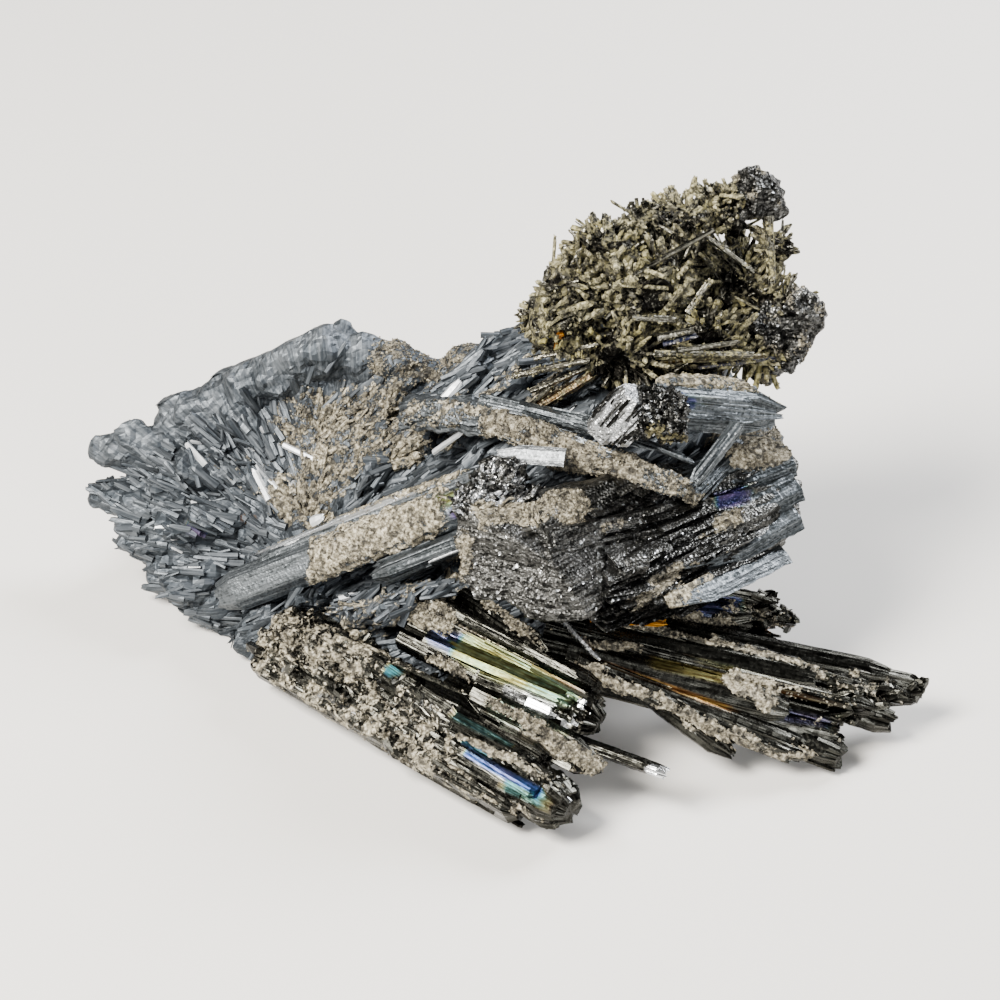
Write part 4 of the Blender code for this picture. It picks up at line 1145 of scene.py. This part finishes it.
class STIBNITE_OT_fan_base(Stibnite, bpy.types.Operator):
    """The intergrown base, covered with short crystals that radiate from the fan's heart."""

    bl_idname = "stibnite.fan_base"
    bl_label = "Fan and base"
    seed = 17

    def build(self, sizes, colours):
        dice = np.random.default_rng(self.seed)
        look = finish("dusty_stibnite", colours)
        points, faces = shell(CELLS["base"], "intergrown_base", RIM_FILL)
        body = surface(points, faces, fan_growth(points))
        base = {"points": points, "faces": faces}
        normals = corner_normals(body)
        floor_part = step(points[:, 2], 0.1, 0.9)
        under_rim = (RIM_POINT - points) @ RIM_NORMAL
        wall = (1 - step(under_rim, 3.5, 6.0)) * (1 - step(points[:, 0], -10, -5))
        ribs = noise(fan_growth(points), (1.2, 9, 1.2), 8)
        rough = 0.5 * layered(points, 1.6, 2) + 0.2 * (1 - wall) * ribs
        body["points"] = points + normals * (rough * floor_part)[:, None]
        past = np.maximum((body["points"] - RIM_POINT) @ RIM_NORMAL + 0.4 * rough, 0)
        drawn_in = 0.9 * past * floor_part * (points[:, 0] < RIM_END)
        body["points"] = body["points"] - drawn_in[:, None] * RIM_NORMAL
        # Painted shade: the skin is darker where the blades stand on it, everywhere but the bare rim
        body["shade"] = np.clip(noise(points, 3.0, 4), -1, 1) - 1.2 * (1 - wall)
        weather(body, "base")
        body["crust"] = 0.7 * body["crust"]
        body = crusted(body, "fan_base", sizes, dice)
        put("fan_base", body, look, "stibnite", "intergrown_base")

        standing = (fan_lead(points) * normals).sum(axis=1)
        clear = floor_part * (normals[:, 2] > -0.45) * (1 - step(standing, 0.5, 0.8))
        clear = clear * (1 - wall) + 1e-6
        clear = clear * (1 - near(points, *BARE_PATCH))
        for specs in (*BUNDLES.values(), RIDGE[:1]):
            for spec in specs:
                clear = clear * (1 - near(points, spec["root"], spec["tip"], spec["width"] * 0.5 + 0.9))
        length, width = sizes.fan_blade_length / MM, sizes.fan_blade_width / MM
        box, count = "intergrown_base", sizes.fan_blades
        small, feet = sprouts(
            base, clear, count, length, width, fan_lead, dice, lift=0.03, stray=0.2, box=box
        )
        points_each = 20  # three rings of six and two ends
        # Painted glints: 3 in 100 of the small blades are painted silver
        painted_glints = np.repeat(dice.random(count) < 0.03, points_each)
        small["shade"] = small["shade"] + 1.6 * np.resize(painted_glints, len(small["shade"]))
        weather(small, "base", feet)
        length, width = 1.2 * length, 1.8 * width
        wide, feet = sprouts(
            base, clear, 60, length, width, fan_lead, dice, lift=0.0, stray=0.14, box=box,
            around=12, rib=0.12,
        )
        weather(wide, "base", feet)
        wide["film"][:] = 0
        root, tip, breadth = (np.array(values, float) for values in zip(*FAN_BRIGHT))
        bright = crystals(
            root, tip, breadth, 0.5 * breadth, TOWARDS_KEY, dice,
            around=12, rings=4, rib=0.05, jag=0.4, shade=2.0,
        )
        blades = crusted(joined([small, wide, bright]), "fan_blades", sizes, dice, depth=0.0)
        put("fan_blades", blades, look, "stibnite")


class STIBNITE_OT_ridge_blade(Stibnite, bpy.types.Operator):
    """The long ridge blade, whose display face has a sandy crust that starts at a straight edge."""

    bl_idname = "stibnite.ridge_blade"
    bl_label = "Ridge blade"
    seed = 5

    def build(self, sizes, colours):
        dice = np.random.default_rng(self.seed)
        face = main_blades(RIDGE[:1], dice, around=48, rings=130, rib=0.05, jag=0.8, rough=0.03)
        looks = corner_normals(face) @ unit(np.array(RIDGE[0]["facing"]))
        x = face["points"][:, 0] + 0.4 * noise(face["points"], 0.9, 3)
        span = step(x, RIDGE_CRUST_FROM - 0.3, RIDGE_CRUST_FROM + 0.1)
        span = span * (1 - step(x, RIDGE_CRUST_TO - 1.5, RIDGE_CRUST_TO + 1.0))
        face["crust"] = np.maximum(face["crust"], span * step(looks, 0.3, 0.6))
        sides = main_blades(RIDGE[1:], dice, around=30, rings=24)
        strips = lamellae(RIDGE[1:], 70, sizes.lamella_width / MM, dice)
        ridge = joined([face, sides, strips])
        ridge["shade"] = ridge["shade"] + 0.7
        weather(ridge, "ridge_blade")
        ridge = crusted(ridge, "ridge", sizes, dice, depth=1.8, size=0.8)
        put("ridge", ridge, finish("dulled_stibnite", colours), "crusted_stibnite", "ridge_blade")


def block_layers(places):
    """Growth coordinates of the block: across its layers' run, along it, and up through the layers."""
    x, y, z = places.T
    along, aside = LAYER_RUN[:2]
    return np.stack([along * y - aside * x, along * x + aside * y, z - LAYER_RISE * x], axis=1)


class STIBNITE_OT_block(Stibnite, bpy.types.Operator):
    """The broken block: a granular loaf of fractured layers that steps out to the right in ledges."""

    bl_idname = "stibnite.block"
    bl_label = "Broken block"
    seed = 9

    def build(self, sizes, colours):
        dice = np.random.default_rng(self.seed)
        points, faces = shell(CELLS["block"], "striated_block")
        own = block_layers(points)
        body = surface(points, faces, own)
        loaf_skin = {"points": points, "faces": faces}
        normals = corner_normals(body)
        x, y, _ = points.T
        loaf = 1 - step(x, FISSURE_X, FISSURE_X + 1.5)
        plates = noise(own, (2.6, 8.0, 0.8), 6)
        streaks = layered(own, (1.6, 5.0, 0.5), 12, 2)
        swell = noise(points, 4.5, 19)
        crack = np.exp(-(((x - FISSURE_X - 0.3 * noise(points, 2.0, 8)) / 0.5) ** 2)) * step(-y, 0, 3)
        deep = np.clip(-plates - 0.25, 0, 1) * (1 - loaf)
        push = 0.9 * plates * (1 - loaf) + 0.2 * streaks + 0.4 * swell * loaf - 1.3 * crack - deep
        body["points"] = points + normals * push[:, None]
        # Painted shade: the crack and the deep gaps between the plates are painted darker
        body["shade"] = np.clip(1.2 * noise(own, (0.8, 2.4, 0.4), 31), -1, 1.2) - 2 * crack - 2.5 * deep
        body["shade"] = body["shade"] + 0.6 * step(x, *PALE_END)
        weather(body, "block")
        body = crusted(body, "block", sizes, dice)

        steps_out = (1 - loaf) * step(-normals[:, 1], 0.0, 0.5) * (plates > -0.3)
        steps_out = steps_out * (1 - step(x, *LEDGES_THIN_OUT))
        count = 260
        places, out = scatter(loaf_skin, steps_out + 1e-6, count, dice)
        run = unit(np.array(LAYER_RUN) + dice.normal(0, 0.07, (count, 3)))
        reach = run * dice.uniform(1.2, 4.2, (count, 1))
        thin = dice.uniform(0.22, 0.5, count)
        ledges = crystals(
            places - reach - 0.4 * out, places + reach - 0.3 * out, dice.uniform(1.4, 2.8, count), thin,
            np.array(UP) + dice.normal(0, 0.12, (count, 3)), dice, around=12, rings=4, rib=0.1, jag=1.0,
            chisel=0.8, point=0.6, shade=dice.uniform(-1, 0.9, count),
        )
        blades = main_blades(BLOCK_LEDGES, dice, rib=0.12, jag=0.8, rough=0.2)
        heap = near(points, *CRUMB_HEAP) * step(normals[:, 2], -0.2, 0.3)
        crumbs, _ = sprouts(loaf_skin, heap, 420, 1.6, 0.5, (0.6, 0.2, 0.5), dice, lift=0.4, stray=0.6)
        crumbs["shade"] = crumbs["shade"] + 0.7
        rest = weather(joined([ledges, blades, crumbs]), "block")
        look = finish("snapped_stibnite", colours)
        put("block", joined([body, rest]), look, "broken_stibnite", "striated_block")

        wings = main_blades(BLOCK_WINGS, dice, 72, 30, rib=0.08, jag=0.7, rough=0.12, longest_point=6)
        first = np.arange(len(wings["points"])) < len(wings["points"]) / len(BLOCK_WINGS)
        wings["shade"] = np.where(first, 0.7, wings["shade"] - 0.2)
        wings = crusted(weather(wings, "block_wings"), "block_wings", sizes, dice, depth=1.2)
        put("block_wings", wings, finish("dulled_stibnite", colours), "broken_stibnite")


class STIBNITE_OT_bundles(Stibnite, bpy.types.Operator):
    """The blade bundles at the front and on the right, each a sheaf with strips along it."""

    bl_idname = "stibnite.bundles"
    bl_label = "Blade bundles"
    seed = 40  # the first bundle's, and each later one has the next
    strips = {
        "front_bundle": 60, "middle_bundle": 24, "slender_blades": 16, "long_right_blades": 90,
        "upper_right_blades": 60,
    }
    slots = {"slender_blades": "crusted_stibnite", "upper_right_blades": "broken_stibnite"}
    # Places where short crystals crowd on a bundle: from, to, radius in mm, how many and their lean
    crowds = {
        "front_bundle": ((-23, 4, 7), (-10, -8, 6), 6.5, 420, (0.5, -0.6, 0.3)),
        "long_right_blades": ((37, -6, 5.4), (43, -4.6, 4.4), 4.0, 110, (0.9, -0.1, 0)),
        "upper_right_blades": ((27, 2.6, 10), (30.4, 3, 8.6), 3.4, 70, (0.9, 0, 0.1)),
    }

    def build(self, sizes, colours):
        for i, (name, specs) in enumerate(BUNDLES.items()):
            dice = np.random.default_rng(self.seed + i)
            blades = main_blades(specs, dice, around=48, rings=30)
            faces = main_blades(BROAD_FACES[name], dice, around=48, rings=24, rib=0.03, jag=0.7, rough=0.04)
            strips = lamellae(specs, self.strips[name], sizes.lamella_width / MM, dice)
            parts = [blades, faces, strips]
            if name in BREAKS:
                end = main_blades([BREAKS[name]], dice, around=72, rings=30, rib=0.22, rough=0.3, jag=0.6)
                end["shade"] = -0.6 + 1.6 * noise(end["points"], 0.7, 5)
                parts.append(end)
            if name in MIRRORS:
                shape = {"around": 12, "rings": 4, "rib": 0.08, "jag": 0.5}
                # Painted highlights: the mirror facets are painted silver, the first one most
                bright = np.linspace(2.2, 1.3, len(MIRRORS[name]))
                parts.append(crystals(*measures(MIRRORS[name]), dice, shade=bright, **shape))
            if name in self.crowds:
                start, end, radius, count, lead = self.crowds[name]
                crowd = near(blades["points"], start, end, radius)
                off_floor = step(blades["points"][:, 2], 3.5, 5.0)
                short, _ = sprouts(
                    blades, crowd * off_floor, count, 2.2, 0.8, lead, dice, lift=0.4, stray=0.5, sunk=0.45,
                    box=name,
                )
                parts.append(short)
            part = crusted(weather(joined(parts), name), "bundle", sizes, dice)
            slot = self.slots.get(name, "tarnished_stibnite")
            put(name + "_growth", part, finish("filmed_stibnite", colours), slot, name)


class STIBNITE_OT_curved_blade(Stibnite, bpy.types.Operator):
    """The curved blade over the block, crusted on its display face, and the strut behind its tip."""

    bl_idname = "stibnite.curved_blade"
    bl_label = "Curved blade and strut"
    seed = 3

    def build(self, sizes, colours):
        dice = np.random.default_rng(self.seed)
        look = finish("dulled_stibnite", colours)
        thin = 0.7 * sizes.lamella_width / MM
        arch = crystals(
            CURVED_ROOT, CURVED_TIP, 4.2, 2.6, DISPLAY, dice, around=48, rings=90, rib=0.1, jag=4.0,
            chisel=0.1, point=13.0, bow=CURVED_BOW, rough=0.45, coarse=1.6,
        )
        looks = corner_normals(arch) @ unit(np.array(DISPLAY))
        x = arch["points"][:, 0]
        span = step(x, *CURVED_CRUST_FROM) * (1 - step(x, *CURVED_CRUST_TO))
        arch["crust"] = 0.9 * span * step(looks, 0.2, 0.6)
        flat = main_blades(CURVED_STRIPS, dice, around=24, rings=16, jag=1.6)
        strips = lamellae(CURVED_STRIPS, 50, thin, dice)
        pale = main_blades([PALE_BLADE], dice, around=24, rings=24, rib=0.04, jag=0.9, rough=0.05)
        pale["shade"][:] = 1.15
        part = joined([weather(joined([arch, flat, strips]), "curved_blade"), pale])
        part = crusted(part, "curved_blade", sizes, dice, depth=1.4)
        put("curved_blade_growth", part, look, "crusted_stibnite", "curved_blade")

        strut = joined([main_blades(STRUT, dice, rib=0.1), lamellae(STRUT, 60, thin, dice)])
        strut = crusted(weather(strut, "strut_blade"), "strut", sizes, dice)
        put("strut_growth", strut, look, "broken_stibnite", "strut_blade")


class STIBNITE_OT_broken_crystal(Stibnite, bpy.types.Operator):
    """One thick crystal, snapped across: the silver stub, the dark rough break and the long grey end."""

    bl_idname = "stibnite.broken_crystal"
    bl_label = "Broken crystal"
    seed = 12

    def build(self, sizes, colours):
        dice = np.random.default_rng(self.seed)
        width = sizes.lamella_width / MM
        stub = main_blades(SILVER_STUB, dice, rib=0.1, jag=0.4)
        # Painted highlight and painted shade: the stub and most of its strips are painted silver, the other
        # strips dark between them
        stub["shade"] = stub["shade"] * 0.3 + 1.6
        leaves = lamellae(SILVER_STUB, 110, 0.5 * width, dice, reach=1.0)
        leaves["shade"] = np.where(leaves["shade"] > 0.1, 2.2, -1.6)
        rough = main_blades([ROUGH_BREAK], dice, around=60, rings=30, rib=0.35, jag=1.2, rough=0.6)
        rough["shade"][:] = -1.5
        count = 700
        places, normals = scatter(rough, np.ones(len(rough["points"])), count, dice)
        size, shade = dice.uniform(0.12, 0.4, count), dice.uniform(-1.6, 1.3, count)
        crumbs = grains(places, normals, size, dice, shade=shade)
        ochre = near(crumbs["points"], *BREAK_STAIN)
        crumbs["crust"], crumbs["ochre"] = ochre, 0.6 * ochre
        part = weather(joined([stub, leaves, rough, crumbs]), "broken_crystal")
        put("broken_crystal_growth", part, finish("snapped_stibnite", colours), "stibnite", "broken_crystal")

        end = main_blades(GREY_END, dice, around=96, rings=40, rib=0.06, jag=2.6, rough=0.1, longest_point=4)
        inner = [{**spec, "tip": spec["tip"].lerp(spec["root"], 0.16)} for spec in GREY_END]
        lines = lamellae(inner, 50, 0.6 * width, dice, reach=0.93)
        end = joined([end, lines])
        end["shade"] = end["shade"] * 0.25 + 0.5
        end = crusted(weather(end, "grey_end"), "grey_end", sizes, dice, depth=1.6, ochre=0.35)
        put("grey_end", end, finish("dulled_stibnite", colours), "stibnite")


def stained(places):
    """How yellow the cluster's stains make each place."""
    return sum(near(places, middle, middle, radius) * amount for middle, radius, amount in STAINS)


class STIBNITE_OT_needle_cluster(Stibnite, bpy.types.Operator):
    """The cluster: lumps under a crowd of stubby needles, each coated with bumpy oxide."""

    bl_idname = "stibnite.needle_cluster"
    bl_label = "Needle cluster"
    seed = 21

    def build(self, sizes, colours):
        dice = np.random.default_rng(self.seed)
        balls = [(middle, radius - CORE_DEPTH) for middle, radius in CLUSTER_LUMPS]
        points, faces = shell(CELLS["cluster"], balls=balls)
        open_air = np.ones(len(points), bool)
        for middle, radius in HOLLOWS:
            away = points - np.array(middle)
            inside = np.linalg.norm(away, axis=1) < radius
            open_air &= ~inside
            points = np.where(inside[:, None], middle + unit(away) * radius, points)
        ground = {"points": points, "faces": faces}
        core = surface(points, faces, points * (1, 5, 1), ochre=0.5)
        normals = corner_normals(core)
        core["points"] = points + normals * (0.8 * layered(points, 1.8, 3))[:, None]
        core["crust"] = np.where(open_air, 0.6, 0.25)
        # Painted shade: the core under the needles is dark, and darker still in the hollows
        core["shade"] = np.where(open_air, -1.6, -2.6)
        look = finish("oxide_on_needles", colours)
        put("needle_cluster_core", core, look, "ochre_needles", "needle_cluster")

        count = sizes.needles
        weight = np.where(open_air, 1.0, 0.05) * step(normals[:, 2], -0.95, -0.3)
        places, out = scatter(ground, weight, count, dice)
        sprays = np.stack([noise(places, 3.4, seed) for seed in (50, 51, 52)], axis=1)
        lean = unit(0.75 * out + 1.5 * sprays + dice.normal(0, 0.4, (count, 3)))
        tall = 0.75 + 0.55 * noise(places, 4.5, 66)
        length = (sizes.needle_length / MM * dice.uniform(0.6, 1.4, count) * tall)[:, None]
        thick = sizes.needle_width / MM * dice.uniform(0.5, 1.5, count)
        foot, head = places - lean * length * 0.35, places + lean * length * 0.65
        keep = in_box(head, "needle_cluster", 0.4)
        for spheres, share in ((HOLLOWS, 0.85), (BARE_LUMPS, 0.9)):
            for middle, radius in spheres:
                keep &= np.linalg.norm(head - np.array(middle), axis=1) > radius * share
        foot, head, thick, places = foot[keep], head[keep], thick[keep], places[keep]
        count = len(foot)
        metal = dice.random(count) < 0.16
        stain = stained(places)
        ochre = np.clip(0.15 + 0.5 * noise(places, 3.0, 77) + dice.normal(0, 0.15, count) + stain, 0, 1)
        needles = crystals(
            foot, head, np.where(metal, 0.7, 1) * thick, np.where(metal, 0.5, 0.8) * thick,
            dice.normal(0, 1, (count, 3)), dice, rings=4, rib=0.14, jag=0.4, chisel=0.8, point=0.25,
            rough=0.06, coarse=0.4, painted_foot_shade=2.1, ochre=ochre, film=0.8 * (stain > 0.8),
            crust=np.where(metal, 0.2, dice.uniform(0.65, 1.0, count)), shade=dice.uniform(-0.9, 1.1, count),
        )
        root, tip, wide = (np.array(values, float) for values in zip(*LONG_NEEDLES))
        many = len(root)
        free = crystals(
            root, tip, wide, wide * 0.8, UP, dice, around=12, rings=8, rib=0.2, jag=0.5, chisel=0.8,
            point=0.3, rough=0.08, crust=dice.uniform(0, 0.6, many), ochre=0.4,
            shade=dice.uniform(-0.5, 1, many), film=0.3 * (dice.random(many) < 0.3),
            hue=dice.choice([0.05, 0.15, 0.8], many),
        )
        lying, _ = sprouts(
            ground, weight * open_air, 120, 4.6, 0.7, (1, 0, 0.3), dice, lift=0.6, stray=0.55, sunk=0.4,
            box="needle_cluster", rings=5, rib=0.14, rough=0.06, coarse=0.4, crust=0.85, ochre=0.12,
        )
        needles = joined([needles, free, lying])
        bumpy = step(needles["shade"] + needles["crust"], -1, 1) + 1e-6
        places, normals = scatter(needles, bumpy, GRAINS["needles"], dice)
        size = sizes.grain_size / MM * dice.uniform(0.6, 1.6, len(places))
        bumps = grains(
            places, normals, size, dice, crust=1.0, ochre=np.clip(0.2 + 0.8 * stained(places), 0, 1),
            shade=dice.uniform(-1, 1.1, len(places)),
        )
        put("needle_cluster_growth", joined([needles, bumps]), look, "ochre_needles")

        points, faces = shell(CELLS["cluster_ends"], balls=BARE_LUMPS)
        lumps = surface(points, faces, points)
        push = 0.5 * layered(points, 1.3, 9) + 0.3 * noise(points, 0.55, 33)
        pores = np.clip(-noise(points, 1.0, 90) - 0.3, 0, 1)
        lumps["points"] = points + corner_normals(lumps) * (push - 1.2 * pores)[:, None]
        # Painted shade: the pores are painted darker
        lumps["shade"] = np.clip(1.5 * noise(points, 0.5, 34), -1, 1) - 0.5 - 3 * pores
        lumps["crust"] = np.clip(0.25 + 0.5 * noise(points, 1.4, 35), 0, 1)
        lumps = crusted(lumps, "cluster_ends", sizes, dice, depth=0.4)
        put("cluster_ends", lumps, finish("snapped_stibnite", colours), "broken_stibnite")


# ---------------------------------------------------------------- stage

CAMERA_TARGET = Vector((0.0, 12.70, 18.14))
CAMERA_PLACE = Vector((0.0, -314.96, 247.58))
CAMERA_LENS, CAMERA_SENSOR = 133.3, 36.0  # mm
FLOOR_HALF = 1500.0  # mm from the middle of the floor to its edge
FLOOR_GAP = 0.05  # mm between the floor and what rests on it, so that the two don't flicker
ROOM_COLOUR, ROOM_STRENGTH = "#e3e3e4", 0.14
# Each light is its place in mm, the side of its square in mm, its power in watts and its colour
LIGHTS = {
    "key_softbox": ((-260, -160, 380), 200, 10.5, "#fffaf2"),
    "back_softbox": ((260, 240, 300), 180, 5.0, "#f4f5f8"),
    "front_fill": ((160, -380, 160), 160, 1.4, "#ffffff"),
}


class STIBNITE_OT_stage(Stibnite, bpy.types.Operator):
    """A pale paper floor, soft lights and the camera."""

    bl_idname = "stibnite.stage"
    bl_label = "Stage"

    def build(self, sizes, colours):
        paper = bpy.data.materials.new("matt_paper")
        paper.use_nodes = True
        shader = paper.node_tree.nodes["Principled BSDF"]
        shader.inputs["Base Color"].default_value = (*colours.floor, 1)
        shader.inputs["Roughness"].default_value = 0.95
        corners = FLOOR_HALF * MM * np.array([(-1, -1, 0), (1, -1, 0), (1, 1, 0), (-1, 1, 0)])
        mesh = bpy.data.meshes.new("floor")
        mesh.from_pydata(corners.tolist(), [], [(0, 1, 2, 3)])
        mesh.materials.append(paper)
        floor = bpy.data.objects.new("floor", mesh)
        floor.location.z = -FLOOR_GAP * MM
        bpy.context.scene.collection.objects.link(floor)

        for name, (place, side, power, colour) in LIGHTS.items():
            lamp = bpy.data.lights.new(name, "AREA")
            lamp.size = side * MM
            lamp.energy = power
            lamp.color = linear(colour)
            holder = bpy.data.objects.new(name, lamp)
            holder.location = Vector(place) * MM
            holder.rotation_euler = (CAMERA_TARGET - Vector(place)).to_track_quat("-Z", "Y").to_euler()
            bpy.context.scene.collection.objects.link(holder)
        world = bpy.data.worlds.new("soft_room")
        world.use_nodes = True
        background = world.node_tree.nodes["Background"]
        background.inputs["Color"].default_value = (*linear(ROOM_COLOUR), 1)
        background.inputs["Strength"].default_value = ROOM_STRENGTH
        bpy.context.scene.world = world

        view = bpy.data.cameras.new("display_camera")
        view.lens = CAMERA_LENS
        view.sensor_width = CAMERA_SENSOR
        view.clip_start = 0.01
        eye = bpy.data.objects.new("display_camera", view)
        eye.location = CAMERA_PLACE * MM
        eye.rotation_euler = (CAMERA_TARGET - CAMERA_PLACE).to_track_quat("-Z", "Y").to_euler()
        bpy.context.scene.collection.objects.link(eye)
        bpy.context.scene.camera = eye


OPERATORS = (
    STIBNITE_OT_fan_base,
    STIBNITE_OT_ridge_blade,
    STIBNITE_OT_block,
    STIBNITE_OT_bundles,
    STIBNITE_OT_curved_blade,
    STIBNITE_OT_broken_crystal,
    STIBNITE_OT_needle_cluster,
    STIBNITE_OT_stage,
)


class STIBNITE_PT_panel(bpy.types.Panel):
    """Lists the operators, sizes and colours in the sidebar."""

    bl_label = "Stibnite Crystal Spray"
    bl_space_type = "VIEW_3D"
    bl_region_type = "UI"
    bl_category = "Stibnite"

    def draw(self, context):
        for settings in (context.scene.stibnite_sizes, context.scene.stibnite_colours):
            for name in settings.bl_rna.properties.keys():
                if name not in ("rna_type", "name"):
                    self.layout.prop(settings, name)
        for operator in OPERATORS:
            self.layout.operator(operator.bl_idname)


CLASSES = (StibniteSizes, StibniteColours, *OPERATORS, STIBNITE_PT_panel)


def register():
    for each in CLASSES:
        bpy.utils.register_class(each)
    bpy.types.Scene.stibnite_sizes = bpy.props.PointerProperty(type=StibniteSizes)
    bpy.types.Scene.stibnite_colours = bpy.props.PointerProperty(type=StibniteColours)


def unregister():
    del bpy.types.Scene.stibnite_colours
    del bpy.types.Scene.stibnite_sizes
    for each in reversed(CLASSES):
        bpy.utils.unregister_class(each)


def main():
    register()
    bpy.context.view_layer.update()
    for operator in OPERATORS:
        group, name = operator.bl_idname.split(".")
        getattr(getattr(bpy.ops, group), name)()


if __name__ == "__main__":
    main()
